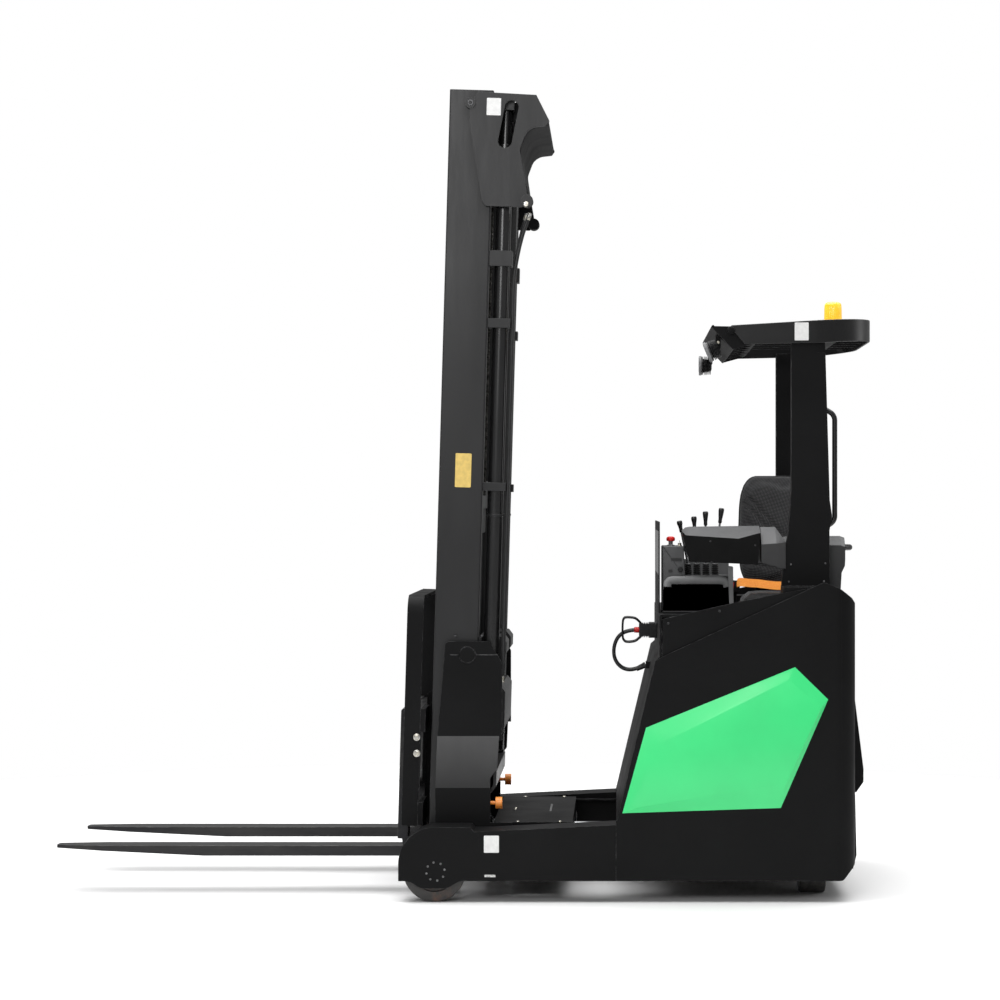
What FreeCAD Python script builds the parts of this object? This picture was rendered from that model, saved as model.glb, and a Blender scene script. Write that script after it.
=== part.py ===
"""A seated electric reach truck: two straddle legs on load wheels, a reaching triplex mast with
forks, and a tractor body with battery, side-facing seat, levers and an overhead guard.

Millimetres. +X runs from the forks to the tractor, +Y to the truck's right when facing the forks'
way, +Z up. Every size below is measured from the load wheels' axle line, on the floor, at the
middle of the width; save() then moves each piece so that the origin lies on the floor under the
centre of the truck's whole length. Left is -Y and right is +Y.
"""
import FreeCAD
import Part
import math
import os

V = FreeCAD.Vector

# ---- driving dimensions -------------------------------------------------------------------
HALF_WIDTH = 635.0          # outer face of the legs and side panels
LEG_HEIGHT = 287.0          # top of the wheel housing above the floor
GROUND_CLEARANCE = 83.0
LOAD_WHEEL_R = 120.0
LOAD_WHEEL_WIDTH = 96.0
WHEELBASE = 1455.0          # load axle to the steered drive wheel
REAR_X = 1607.0             # outer face of the rear wall
FORK_LENGTH = 1352.0        # heel to tip
FORK_SPREAD = 582.0         # centre to centre
FORK_WIDTH = 110.0
FORK_THICKNESS = 40.0
FORK_TOP_Z = 180.0
MAST_TOP_Z = 3125.0
MAST_LEAN = 1.64            # degrees, top towards the tractor
GUARD_HALF_WIDTH = 500.0
GUARD_REAR_X = 1692.0
BATTERY_SIZE = (240.0, 1160.0, 750.0)

# ---- running clearances -------------------------------------------------------------------
FIT = 0.05                  # radial, a shaft turning in a bore
GAP = 5.0                   # between parts that pass each other
SEAT_GAP = 0.3              # a soft or loose piece above what carries it

# ---- legs ---------------------------------------------------------------------------------
PLATE = 15.0                # outer and inner leg plates
LEG_FRONT_X = -136.0
LEG_ARCH_R = 150.0
LEG_REAR_X = 1020.0         # the inner plates end inside the tractor
LEG_TOP_FRONT_Z = 270.0     # the beam's top, just behind the wheel housing
LEG_TOP_REAR_Z = 296.0
BODY_FRONT_X = 692.0        # foot of the sloped front wall
HOUSING_REAR_X = 152.0
LEG_INNER_Y = 490.0         # inner face of the inner plate
LOAD_WHEEL_Y = HALF_WIDTH - PLATE - 58.0
AXLE_R = 16.0
CHANNEL_TIP_Y = 460.0       # inner edge of the flanges that the reach rollers run between
CHANNEL_TOP_Z = 262.0
CHANNEL_BOTTOM_Z = 133.0
CHANNEL_PLATE = 13.0
ROLLER_R = 58.0
ROLLER_XS = (70.0, 470.0)

# ---- mast ---------------------------------------------------------------------------------
PIVOT_X = 115.0
PIVOT_Z = 931.0
PIVOT_R = 33.0
MAST_BOTTOM_Z = 95.0
RAIL_FRONT_X = -16.0
RAIL_DEPTH = 171.0
RAIL_REAR_X = RAIL_FRONT_X + RAIL_DEPTH
RAIL_OUTER_Y = 416.0
RAIL_WEB = 12.0
RAIL_FLANGE = 14.0
RAIL_FILLET = 8.0
ROLLER_PLAY = 0.5           # between a mast roller and the flanges it runs between
STAGE_STEP_Y = 69.0         # each rail pair sits this much further in than the one outside it
STAGE_STEP_X = 14.0         # and is this much shallower
FLANGE_REACH = 62.0         # rail's outer face to its flange tips
BRACKET_INNER_Y = RAIL_OUTER_Y + GAP
BRACKET_OUTER_Y = 434.0
SKIRT_OUTER_Y = 452.0
BEAM_PLATE = 12.0
LIFT_BARREL_R = 31.0
LIFT_X = RAIL_REAR_X + BEAM_PLATE + LIFT_BARREL_R + 6
LIFT_Y = 366.0
LIFT_ROD_R = 22.0
LIFT_SEAT_Z = 480.0
LIFT_BARREL_TOP_Z = 2890.0
CLAMP_REAR_X = LIFT_X + 40.0
FREE_BARREL_R = 42.0
FREE_ROD_R = 26.0
FREE_X = 55.0
FREE_BARREL_TOP_Z = 1500.0
BEAM_HALF = 400.0           # half width of the cross members between the outer rails
BEAM_REAR_X = LIFT_X + 58.0
HOSE_R = 8.0
HOSES = ((-388.0, 56.0), (-364.0, 44.0))     # across, and swing out at the top
CLAMPS = ((1586.0, 16.0), (2223.0, 18.0), (2475.0, 30.0))     # height, half its own height
TILT_EYE_X = RAIL_REAR_X + 31.0     # rod eye of the tilt cylinders, on the upright mast
TILT_EYE_Z = 218.0
TILT_YS = (-200.0, 200.0)
TILT_PIN_R = 11.0
FRAME_BEAM_X = LIFT_X + 36.0        # front of the reach frame's deep cross beam
TRAY_REAR_X = FRAME_BEAM_X + 284.0
TRAY_TOP_Z = 283.0
ROLLER_Z = (CHANNEL_TOP_Z + CHANNEL_BOTTOM_Z) / 2
RAM_Z = 213.0
BUFFER_Z = 357.0

# ---- carriage and forks -------------------------------------------------------------------
BACKREST_TOP_Z = 1155.0
BACKREST_FRONT_X = -122.0
BACKREST_DEPTH = 62.0
BACKREST_WALL = 15.0
BACKREST_BEND_R = 70.0
SHANK_FRONT_X = -142.0
SHANK_TOP_Z = 708.0
SHIFT_STROKE = 50.0
GUIDE_R = 13.0
GUIDE_X = -83.0
GUIDE_ZS = (310.0, 672.0)

# ---- tractor body -------------------------------------------------------------------------
SKIN = 8.0
CORNER_R = 80.0             # rear corners in plan
FLOOR_Z = 740.0             # operator's floor
DECK_Z = 310.0              # battery shelf, over the reach tunnel
WALL_X = 857.0              # upright part of the front wall
SLOPE_TOP_Z = 919.0
CONSOLE_TOP_Z = 1236.0
DRIVE_Y = -345.0
DRIVE_WHEEL_R = 125.0
DRIVE_WHEEL_WIDTH = 102.0
CASTOR_Y = 345.0
CASTOR_R = 75.0
CASTOR_TRAIL = 40.0
STEP_Z = 470.0
STEP_REAR_X = 1651.0
DOOR_Y = (-380.0, 150.0)    # doorway and step, across the truck
PILLAR_THICK = 50.0
PILLAR_FOOT_Z = 1130.0
RING_WALL = 8.0
LIGHT_X = 1068.0
LIGHT_Y = 420.0
CABLE_R = 7.5
CABLE_END = (812.0, 866.0)
CABLE_ROUTE = (
    (785.0, 1007.0), (744.0, 1007.0), (702.0, 985.0), (682.0, 939.0), (685.0, 887.0),
    (717.0, 850.0), (766.0, 844.0), CABLE_END,
)
LEVER_XS = (977.0, 1012.0, 1048.0, 1084.0)
LEVER_TOPS = ((942.0, 1450.0), (1000.0, 1467.0), (1046.0, 1487.0), (1110.0, 1500.0))
LEVER_Y = -225.0
STEER_AT = (1520.0, -180.0, 1310.0)
STEER_SHAFT_R = 14.0
HOOD_TOP_Z = 1095.0         # top of the battery hood
HOOD_REAR_X = 1146.0
SCREEN_TOP_Z = 1447.0
SEAT_X = 1388.0
SEAT_WIDTH = 385.0
SEAT_BACK_Y = 312.0

HEEL_X = SHANK_FRONT_X - 8.0
FORK_TIP_X = HEEL_X - FORK_LENGTH
ORIGIN_X = (GUARD_REAR_X + FORK_TIP_X) / 2


# ---- helpers ------------------------------------------------------------------------------
def rounded_wire(points, place):
    """A closed wire through the points; a point's third number is its corner's radius."""
    count = len(points)
    edges, start, last = [], None, None
    for i, corner in enumerate(points):
        before, after = points[i - 1], points[(i + 1) % count]
        here = V(corner[0], corner[1], 0)
        radius = corner[2] if len(corner) > 2 else 0
        to_before = (V(before[0], before[1], 0) - here).normalize()
        to_after = (V(after[0], after[1], 0) - here).normalize()
        if radius:
            half = to_before.getAngle(to_after) / 2
            run = radius / math.tan(half)
            enter, leave = here + to_before * run, here + to_after * run
            middle_way = (to_before + to_after).normalize()
            middle = here + middle_way * (radius / math.sin(half) - radius)
        else:
            enter = leave = here
        if last is not None and (enter - last).Length > 1e-6:
            edges.append(Part.LineSegment(place(last), place(enter)).toShape())
        if radius:
            edges.append(Part.Arc(place(enter), place(middle), place(leave)).toShape())
        start = start or enter
        last = leave
    if (start - last).Length > 1e-6:
        edges.append(Part.LineSegment(place(last), place(start)).toShape())
    return Part.Wire(Part.__sortEdges__(edges))


def side_shape(points, y0, y1):
    """A plate seen from the side: the points are (x, z) pairs."""
    wire = rounded_wire(points, lambda p: V(p.x, y0, p.y))
    return Part.Face(wire).extrude(V(0, y1 - y0, 0))


def plan_shape(points, z0, z1):
    """A plate seen from above: the points are (x, y) pairs."""
    wire = rounded_wire(points, lambda p: V(p.x, p.y, z0))
    return Part.Face(wire).extrude(V(0, 0, z1 - z0))


def end_shape(points, x0, x1):
    """A bar seen from its end: the points are (y, z) pairs."""
    wire = rounded_wire(points, lambda p: V(x0, p.x, p.y))
    return Part.Face(wire).extrude(V(x1 - x0, 0, 0))


def block(x0, x1, y0, y1, z0, z1):
    low = V(min(x0, x1), min(y0, y1), min(z0, z1))
    return Part.makeBox(abs(x1 - x0), abs(y1 - y0), abs(z1 - z0), low)


def rod(start, end, radius):
    start, end = V(*start), V(*end)
    return Part.makeCylinder(radius, (end - start).Length, start, end - start)


def pipe(start, end, radius, bore):
    return rod(start, end, radius).cut(rod(start, end, bore))


def tube_along(points, radius):
    """Round tube along straight runs joined by tangent arcs."""
    edges, last = [], points[0]
    for before, here, after in zip(points, points[1:], points[2:]):
        back, on = before - here, after - here
        half = back.getAngle(on) / 2
        run = 0.45 * min(back.Length, on.Length)
        bend = run * math.tan(half)
        back.normalize()
        on.normalize()
        enter, leave = here + back * run, here + on * run
        middle = here + (back + on).normalize() * (bend / math.sin(half) - bend)
        edges.append(Part.LineSegment(last, enter).toShape())
        edges.append(Part.Arc(enter, middle, leave).toShape())
        last = leave
    edges.append(Part.LineSegment(last, points[-1]).toShape())
    circle = Part.Wire(Part.makeCircle(radius, points[0], points[1] - points[0]))
    return Part.Wire(edges).makePipeShell([circle], True, True)


def join(*pieces):
    whole = pieces[0].fuse(list(pieces[1:])) if len(pieces) > 1 else pieces[0]
    return whole.removeSplitter()


def mirrored(shape):
    return shape.mirror(V(0, 0, 0), V(0, 1, 0))


def both_sides(shape):
    """The left piece and its mirror image, as solids that don't touch."""
    return Part.makeCompound(shape.Solids + mirrored(shape).Solids)


def lean(shape):
    """Turn a mast piece from upright to its resting lean about the tilt pivot."""
    copy = shape.copy()
    copy.rotate(V(PIVOT_X, 0, PIVOT_Z), V(0, 1, 0), MAST_LEAN)
    return copy


def resting_point(x, z):
    """Where a point of the upright mast lies once the mast leans."""
    angle = math.radians(MAST_LEAN)
    out, up = x - PIVOT_X, z - PIVOT_Z
    return (PIVOT_X + out * math.cos(angle) + up * math.sin(angle),
            PIVOT_Z + up * math.cos(angle) - out * math.sin(angle))


def save(node, shape):
    moved = shape.copy()
    moved.translate(V(-ORIGIN_X, 0, 0))
    moved.exportStep("parts/" + node + ".step")
    print(node, len(moved.Solids), round(moved.Volume / 1e6, 2), moved.isValid())


# ---- legs and load wheels -----------------------------------------------------------------
def leg_outline():
    """The outer plate: rounded over the wheel, low around it, then a beam rising to the rear."""
    arch_z = LEG_HEIGHT - LEG_ARCH_R
    skirt_z = 55.0
    return [
        (LEG_FRONT_X, GROUND_CLEARANCE), (LEG_FRONT_X, LEG_HEIGHT, LEG_ARCH_R - 10),
        (HOUSING_REAR_X - 14, LEG_HEIGHT, 8), (HOUSING_REAR_X, LEG_TOP_FRONT_Z, 8),
        (BODY_FRONT_X, LEG_TOP_REAR_Z), (BODY_FRONT_X, GROUND_CLEARANCE),
        (96, GROUND_CLEARANCE, 60), (50, skirt_z, 60), (-50, skirt_z, 60),
        (-96, GROUND_CLEARANCE, 60),
    ]


def leg():
    outer = side_shape(leg_outline(), -HALF_WIDTH, -HALF_WIDTH + PLATE)
    inner_y = -LEG_INNER_Y
    inner = side_shape([
        (-60, 70, 20), (-60, 250, 40), (30, 270), (HOUSING_REAR_X, LEG_TOP_FRONT_Z),
        (BODY_FRONT_X, LEG_TOP_REAR_Z), (LEG_REAR_X, LEG_TOP_REAR_Z),
        (LEG_REAR_X, GROUND_CLEARANCE), (80, GROUND_CLEARANCE), (60, 70, 20),
    ], inner_y - PLATE, inner_y)
    outer_profile = Part.Face(rounded_wire(leg_outline(), lambda p: V(p.x, -HALF_WIDTH, p.y)))
    filled = outer_profile.extrude(V(0, HALF_WIDTH - LEG_INNER_Y, 0))
    hollow = [(LEG_FRONT_X + 10, 40), (LEG_FRONT_X + 10, LEG_HEIGHT - 12, LEG_ARCH_R - 22),
              (HOUSING_REAR_X - 20, LEG_HEIGHT - 12), (HOUSING_REAR_X - 6, LEG_TOP_FRONT_Z - 12),
              (BODY_FRONT_X + 9, LEG_TOP_REAR_Z - 12), (BODY_FRONT_X + 9, 40)]
    cap = filled.cut(side_shape(hollow, -HALF_WIDTH - 1, inner_y + 1))
    under = block(HOUSING_REAR_X + 20, BODY_FRONT_X, -HALF_WIDTH, inner_y,
                  GROUND_CLEARANCE, GROUND_CLEARANCE + 12)
    stop = block(HOUSING_REAR_X + 20, HOUSING_REAR_X + 32, -HALF_WIDTH, inner_y,
                 GROUND_CLEARANCE, LEG_TOP_FRONT_Z - 6)
    top_flange = block(-40, LEG_REAR_X, inner_y - 2, -CHANNEL_TIP_Y,
                       CHANNEL_TOP_Z, CHANNEL_TOP_Z + CHANNEL_PLATE - 6)
    low_flange = block(-40, LEG_REAR_X, inner_y - 2, -CHANNEL_TIP_Y,
                       CHANNEL_BOTTOM_Z - CHANNEL_PLATE, CHANNEL_BOTTOM_Z)
    axle = rod((0, -HALF_WIDTH, LOAD_WHEEL_R), (0, inner_y, LOAD_WHEEL_R), AXLE_R)
    return join(outer, inner, cap, under, stop, top_flange, low_flange, axle)


def load_wheel():
    half = LOAD_WHEEL_WIDTH / 2
    tread = rod((0, -LOAD_WHEEL_Y - half, LOAD_WHEEL_R), (0, -LOAD_WHEEL_Y + half, LOAD_WHEEL_R),
                LOAD_WHEEL_R)
    rims = [e for e in tread.Edges if e.Length > 6 * LOAD_WHEEL_R]
    tread = tread.makeFillet(6, rims)
    bore = rod((0, -HALF_WIDTH, LOAD_WHEEL_R), (0, -LEG_INNER_Y, LOAD_WHEEL_R), AXLE_R + FIT)
    dish = 10.0
    dish_r = LOAD_WHEEL_R - 38
    for side in (-1, 1):
        face = -LOAD_WHEEL_Y + side * half
        dish_out = pipe((0, face, LOAD_WHEEL_R), (0, face - side * dish, LOAD_WHEEL_R),
                        dish_r, AXLE_R + 20)
        tread = tread.cut(dish_out)
    return tread.cut(bore)


# ---- reach frame --------------------------------------------------------------------------
def reach_frame():
    """The tray behind the mast, with a deep cross beam that carries the two mast brackets."""
    half = SKIRT_OUTER_Y - PLATE
    back = FRAME_BEAM_X + 50
    beam = block(FRAME_BEAM_X, back, -half, half, 112, TRAY_TOP_Z)
    hollow = block(FRAME_BEAM_X + 12, back - 12, -half + 20, half - 20, 124, TRAY_TOP_Z - 12)
    deck = block(FRAME_BEAM_X - 22, TRAY_REAR_X, -half, half, TRAY_TOP_Z - 12, TRAY_TOP_Z)
    skirts = [block(back, TRAY_REAR_X, s * half, s * (half - 12), 190, TRAY_TOP_Z)
              for s in (-1, 1)]
    rear = block(TRAY_REAR_X - 12, TRAY_REAR_X, -half, half, 180, TRAY_TOP_Z)
    ribs = [block(back, TRAY_REAR_X - 12, s * 110 - 5, s * 110 + 5, 215, TRAY_TOP_Z - 12)
            for s in (-1, 1)]
    bosses = [rod((ROLLER_XS[1], s * half, ROLLER_Z), (ROLLER_XS[1], s * (SKIRT_OUTER_Y + 3),
                                                     ROLLER_Z), 30) for s in (-1, 1)]
    tilt_z = resting_point(TILT_EYE_X, TILT_EYE_Z)[1]
    tilt_holes = [rod((FRAME_BEAM_X - 1, y, tilt_z), (back + 1, y, tilt_z), 36) for y in TILT_YS]
    lugs = [block(back + 150, TRAY_REAR_X - 12, y + s * 27, y + s * 37, 190, TRAY_TOP_Z - 12)
            for y in TILT_YS for s in (-1, 1)]
    eye = rod((TRAY_REAR_X - 24, 0, RAM_Z), (TRAY_REAR_X, 0, RAM_Z), 33)
    frame = join(beam.cut(hollow), deck, rear, eye, *skirts, *ribs, *bosses, *lugs)
    return frame.cut(Part.makeCompound(tilt_holes))


def mast_bracket():
    """Side plate with the tilt bearing; below it flares out into a skirt beside the leg."""
    upper = side_shape([
        (-2, 600), (30, 976, 12), (42, 983, 8), (200, 983, 18), (250, 900, 14), (250, 600),
    ], -BRACKET_OUTER_Y, -BRACKET_INNER_Y)
    flare = end_shape([
        (-BRACKET_OUTER_Y, 616), (-SKIRT_OUTER_Y, 417), (-SKIRT_OUTER_Y, 128),
        (-SKIRT_OUTER_Y + PLATE, 128), (-SKIRT_OUTER_Y + PLATE, 420), (-BRACKET_INNER_Y, 616),
    ], -20, 300)
    skirt_outline = side_shape([
        (-2, 616), (-8, 417), (-8, 270), (10, 240), (10, 128), (FRAME_BEAM_X + 50, 128),
        (FRAME_BEAM_X + 50, TRAY_TOP_Z),
        (205, TRAY_TOP_Z),
        (205, 455, 10), (232, 490, 10), (238, 616),
    ], -SKIRT_OUTER_Y - 1, -BRACKET_INNER_Y + 1)
    bore = rod((PIVOT_X, -SKIRT_OUTER_Y, PIVOT_Z), (PIVOT_X, -300, PIVOT_Z), PIVOT_R + FIT)
    stub = rod((ROLLER_XS[0], -SKIRT_OUTER_Y, ROLLER_Z),
               (ROLLER_XS[0], -SKIRT_OUTER_Y - 3, ROLLER_Z), 30)
    return join(upper, flare.common(skirt_outline), stub).cut(bore)


def reach_rollers():
    """Four rollers that run between the flanges of the leg channels."""
    wheels = []
    for x in ROLLER_XS:
        for side in (-1, 1):
            inner = side * (SKIRT_OUTER_Y + 3)
            outer = side * (LEG_INNER_Y - GAP)
            wheels.append(rod((x, inner, ROLLER_Z), (x, outer, ROLLER_Z), ROLLER_R))
    return Part.makeCompound(wheels)


def reach_buffers():
    """Two moulded buffers that meet the tractor when the mast is drawn in."""
    y = -SKIRT_OUTER_Y + 24
    z = BUFFER_Z
    pad = rod((225, y, z), (251, y, z), 23)
    stem = rod((190, y, z), (225, y, z), 7)
    lug = block(190, 205, y, -SKIRT_OUTER_Y + PLATE, z - 12, z + 12)
    return both_sides(join(pad, stem, lug))


def reach_ram():
    return rod((TRAY_REAR_X, 0, RAM_Z), (1010, 0, RAM_Z), 20)


def reach_barrel():
    tube = pipe((992, 0, RAM_Z), (1490, 0, RAM_Z), 36, 28)
    gland = pipe((980, 0, RAM_Z), (992, 0, RAM_Z), 40, 20 + FIT)
    base = rod((1490, 0, RAM_Z), (1506, 0, RAM_Z), 36)
    return join(tube, gland, base)


def tilt_barrels():
    front = FRAME_BEAM_X + 62
    z = resting_point(TILT_EYE_X, TILT_EYE_Z)[1]
    made = []
    for y in TILT_YS:
        tube = pipe((front + 10, y, z), (front + 160, y, z), 26, 19)
        gland = pipe((front, y, z), (front + 10, y, z), 28, 13 + FIT)
        tail = rod((front + 160, y, z), (front + 190, y, z), 26)
        pin = rod((front + 175, y - 27, z), (front + 175, y + 27, z), 12)
        made.append(join(tube, gland, tail, pin))
    return Part.makeCompound(made)


def tilt_rods():
    x, z = resting_point(TILT_EYE_X, TILT_EYE_Z)
    made = []
    for y in TILT_YS:
        shaft = rod((x, y, z), (FRAME_BEAM_X + 165, y, z), 13)
        eye = rod((x, y - 14, z), (x, y + 14, z), TILT_PIN_R + 14)
        hole = rod((x, y - 15, z), (x, y + 15, z), TILT_PIN_R + 8)
        made.append(join(shaft, eye).cut(hole))
    return Part.makeCompound(made)


# ---- mast stages --------------------------------------------------------------------------
def rail(stage):
    """One channel of a stage, open towards the middle; stage 0 is the outer one."""
    outer = RAIL_OUTER_Y - stage * STAGE_STEP_Y
    rear = RAIL_FRONT_X + RAIL_DEPTH - stage * STAGE_STEP_X
    bottom = MAST_BOTTOM_Z + stage * 5
    top = MAST_TOP_Z - stage * 12
    inner = outer - RAIL_WEB
    tip = outer - FLANGE_REACH if stage < 2 else outer - 50
    front = RAIL_FRONT_X
    outline = [
        (front, -outer, 6), (rear, -outer, 6), (rear, -tip), (rear - RAIL_FLANGE, -tip),
        (rear - RAIL_FLANGE, -inner, RAIL_FILLET), (front + RAIL_FLANGE, -inner, RAIL_FILLET),
        (front + RAIL_FLANGE, -tip), (front, -tip),
    ]
    return plan_shape(outline, bottom, top)


def stage_roller(stage, z):
    """Roller at the foot of a stage, that runs in the channel of the stage outside it."""
    channel = RAIL_DEPTH - (stage - 1) * STAGE_STEP_X - 2 * RAIL_FLANGE
    x = RAIL_FRONT_X + RAIL_FLANGE + channel / 2
    face = RAIL_OUTER_Y - stage * STAGE_STEP_Y
    reach = RAIL_OUTER_Y - (stage - 1) * STAGE_STEP_Y - RAIL_WEB - RAIL_FILLET - 1
    return rod((x, -face, z), (x, -reach, z), channel / 2 - ROLLER_PLAY)


def outer_rail():
    pin = rod((PIVOT_X, -RAIL_OUTER_Y, PIVOT_Z), (PIVOT_X, -BRACKET_OUTER_Y, PIVOT_Z), PIVOT_R)
    return join(rail(0), pin)


def mast_head():
    """Two cheeks with lifting slots, joined by the bent sheet along their concave rear edge."""
    top = MAST_TOP_Z - 10
    mid = LIFT_X
    cheek = side_shape([
        (mid - 110, top), (mid + 117, top - 6), (mid + 171, top - 106, 6),
        (mid + 159, top - 124, 4), (mid + 88, top - 134, 62), (mid + 58, top - 218, 50),
        (mid + 98, top - 420, 12), (mid + 75, top - 442, 10), (mid - 68, top - 442, 10),
        (mid - 83, top - 420, 10), (mid - 140, top - 115, 8), (mid - 140, top - 44, 22),
    ], -BRACKET_OUTER_Y, -RAIL_OUTER_Y)
    slot_top, slot_low = V(mid + 23, 0, top - 57), V(mid, 0, top - 188)
    way = (slot_top - slot_low).normalize()
    across = V(way.z, 0, -way.x) * 27
    corners = [slot_low + across, slot_top + across, slot_top - across, slot_low - across]
    middle = side_shape([(c.x, c.z) for c in corners], -BRACKET_OUTER_Y - 1, -RAIL_OUTER_Y + 1)
    ends = [rod((p.x, -BRACKET_OUTER_Y - 1, p.z), (p.x, -RAIL_OUTER_Y + 1, p.z), 27)
            for p in (slot_top, slot_low)]
    boss = rod((mid - 138, -BRACKET_OUTER_Y - 4, top - 44),
               (mid - 138, -RAIL_OUTER_Y, top - 44), 21)
    pulley = rod((mid + 92, -RAIL_OUTER_Y + 26, top - 418),
                 (mid + 92, -BRACKET_OUTER_Y - 6, top - 418), 24)
    side = join(cheek.cut(join(middle, *ends)), boss, pulley)
    sheet = side_shape([
        (mid + 167, top - 112), (mid + 162, top - 124, 4), (mid + 90, top - 134, 62),
        (mid + 61, top - 218, 50), (mid + 80, top - 330), (mid + 72, top - 330),
        (mid + 51, top - 218, 50), (mid + 80, top - 124, 52), (mid + 162, top - 112, 4),
        (mid + 167, top - 104),
    ], -RAIL_OUTER_Y, RAIL_OUTER_Y)
    lip = side_shape([(mid + 117, top - 8), (mid + 167, top - 100), (mid + 159, top - 104),
                      (mid + 109, top - 8)], -RAIL_OUTER_Y, RAIL_OUTER_Y)
    return join(side, mirrored(side), sheet, lip)


def cross_panel(z0, z1, inner_y):
    """A plate behind the outer rails, with boxes that stand out behind it."""
    plate = block(RAIL_REAR_X, RAIL_REAR_X + BEAM_PLATE, -BEAM_HALF, BEAM_HALF, z0, z1)
    outline = [(RAIL_REAR_X, z0), (BEAM_REAR_X - 24, z0), (BEAM_REAR_X, z0 + 34, 6),
               (BEAM_REAR_X, z1 - 22, 6), (BEAM_REAR_X - 18, z1), (RAIL_REAR_X, z1)]
    limit = LIFT_Y - LIFT_BARREL_R - 10
    if inner_y:
        boxes = [side_shape(outline, s * inner_y, s * limit) for s in (-1, 1)]
    else:
        boxes = [side_shape(outline, -limit, limit)]
    return join(plate, *boxes)


def outer_beams():
    """Cross members behind the outer rails: two panels, the cylinder seat and the tilt foot."""
    low = LIFT_SEAT_Z - 97
    rear = LIFT_X + 36
    seat = side_shape([(RAIL_REAR_X, low), (rear - 26, low), (rear, low + 37),
                       (rear, LIFT_SEAT_Z), (RAIL_REAR_X, LIFT_SEAT_Z)], -BEAM_HALF, BEAM_HALF)
    hollow = side_shape([(RAIL_REAR_X + 12, low + 12), (rear - 32, low + 12),
                         (rear - 12, low + 41), (rear - 12, LIFT_SEAT_Z - 12),
                         (RAIL_REAR_X + 12, LIFT_SEAT_Z - 12)],
                        -BEAM_HALF - 1, BEAM_HALF + 1)
    foot = block(RAIL_REAR_X, RAIL_REAR_X + BEAM_PLATE, -BEAM_HALF, BEAM_HALF, 180, 300)
    for y in TILT_YS:
        foot = foot.cut(block(RAIL_REAR_X - 1, RAIL_REAR_X + BEAM_PLATE + 1, y - 19, y + 19,
                              179, TILT_EYE_Z + 44))
    lugs = []
    for y in TILT_YS:
        for side in (-1, 1):
            lugs.append(side_shape([(RAIL_REAR_X, 180), (TILT_EYE_X, TILT_EYE_Z - 18),
                                    (TILT_EYE_X + 16, TILT_EYE_Z, 10),
                                    (TILT_EYE_X, TILT_EYE_Z + 22), (RAIL_REAR_X, 270)],
                                   y + side * 19, y + side * 31))
        lugs.append(rod((TILT_EYE_X, y - 31, TILT_EYE_Z), (TILT_EYE_X, y + 31, TILT_EYE_Z),
                        TILT_PIN_R))
    panels = [cross_panel(606, 806, 0), cross_panel(903, 1000, 90)]
    return Part.makeCompound([seat.cut(hollow), join(foot, *lugs), *panels])


def lift_barrels():
    y = -LIFT_Y
    tube = pipe((LIFT_X, y, LIFT_SEAT_Z + 12), (LIFT_X, y, LIFT_BARREL_TOP_Z),
                LIFT_BARREL_R, LIFT_ROD_R + 3)
    foot = rod((LIFT_X, y, LIFT_SEAT_Z), (LIFT_X, y, LIFT_SEAT_Z + 12), LIFT_BARREL_R + 4)
    gland = pipe((LIFT_X, y, LIFT_BARREL_TOP_Z), (LIFT_X, y, LIFT_BARREL_TOP_Z + 30),
                 LIFT_BARREL_R + 3, LIFT_ROD_R + FIT)
    return both_sides(join(tube, foot, gland))


def cylinder_clamps():
    """Straps that tie each lift cylinder to its rail."""
    straps = []
    for z, half in CLAMPS:
        strap = block(RAIL_REAR_X, CLAMP_REAR_X, -LIFT_Y - 40, -LIFT_Y + 36, z - half, z + half)
        hole = rod((LIFT_X, -LIFT_Y, z - half - 1), (LIFT_X, -LIFT_Y, z + half + 1),
                   LIFT_BARREL_R)
        straps.append(strap.cut(hole))
    return both_sides(Part.makeCompound(straps))


def mast_hoses():
    """Two hoses up the back of the left cylinder that swing out to the pulley under the cheek."""
    x = CLAMP_REAR_X + HOSE_R
    made = []
    for y, swing in HOSES:
        made.append(tube_along([V(x, y, 822), V(x, y, 2400), V(x + 0.46 * swing, y, 2560),
                                V(x + swing, y, 2655)], HOSE_R))
    return Part.makeCompound(made)


def middle_stage():
    """Two rails, their rear ties and the head beam that the lift rods push."""
    half = RAIL_OUTER_Y - STAGE_STEP_Y
    rear = RAIL_REAR_X - STAGE_STEP_X
    top = MAST_TOP_Z - 12
    head = side_shape([(rear, top - 110), (rear + 12, top - 110), (rear + 26, top - 60),
                       (LIFT_X + 30, top - 60, 8), (LIFT_X + 30, top - 10, 8), (rear, top - 10)],
                      -half, half)
    arms = [block(LIFT_X - 30, LIFT_X + 30, s * (half - 10), s * (LIFT_Y + 34), top - 60, top - 10)
            for s in (-1, 1)]
    ties = [block(rear, rear + 8, -half, half, z, z + 110) for z in (150, 1500)]
    side = join(rail(1), stage_roller(1, 210))
    return join(side, mirrored(side), head, *arms, *ties)


def lift_rods():
    top = MAST_TOP_Z - 12 - 60
    return both_sides(rod((LIFT_X, -LIFT_Y, LIFT_SEAT_Z + 20), (LIFT_X, -LIFT_Y, top), LIFT_ROD_R))


def inner_stage():
    """Two rails, their rear ties and the shelf that carries the free-lift cylinder."""
    half = RAIL_OUTER_Y - 2 * STAGE_STEP_Y
    rear = RAIL_REAR_X - 2 * STAGE_STEP_X
    bottom = MAST_BOTTOM_Z + 10
    ties = [block(rear, rear + 9, -half, half, z, z + 100) for z in (1400, MAST_TOP_Z - 170)]
    shelf = block(5, rear, -190, 190, bottom, bottom + 30)
    back = block(rear, rear + 9, -half, half, bottom, bottom + 140)
    side = join(rail(2), stage_roller(2, 220))
    return join(side, mirrored(side), shelf, back, *ties)


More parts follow.
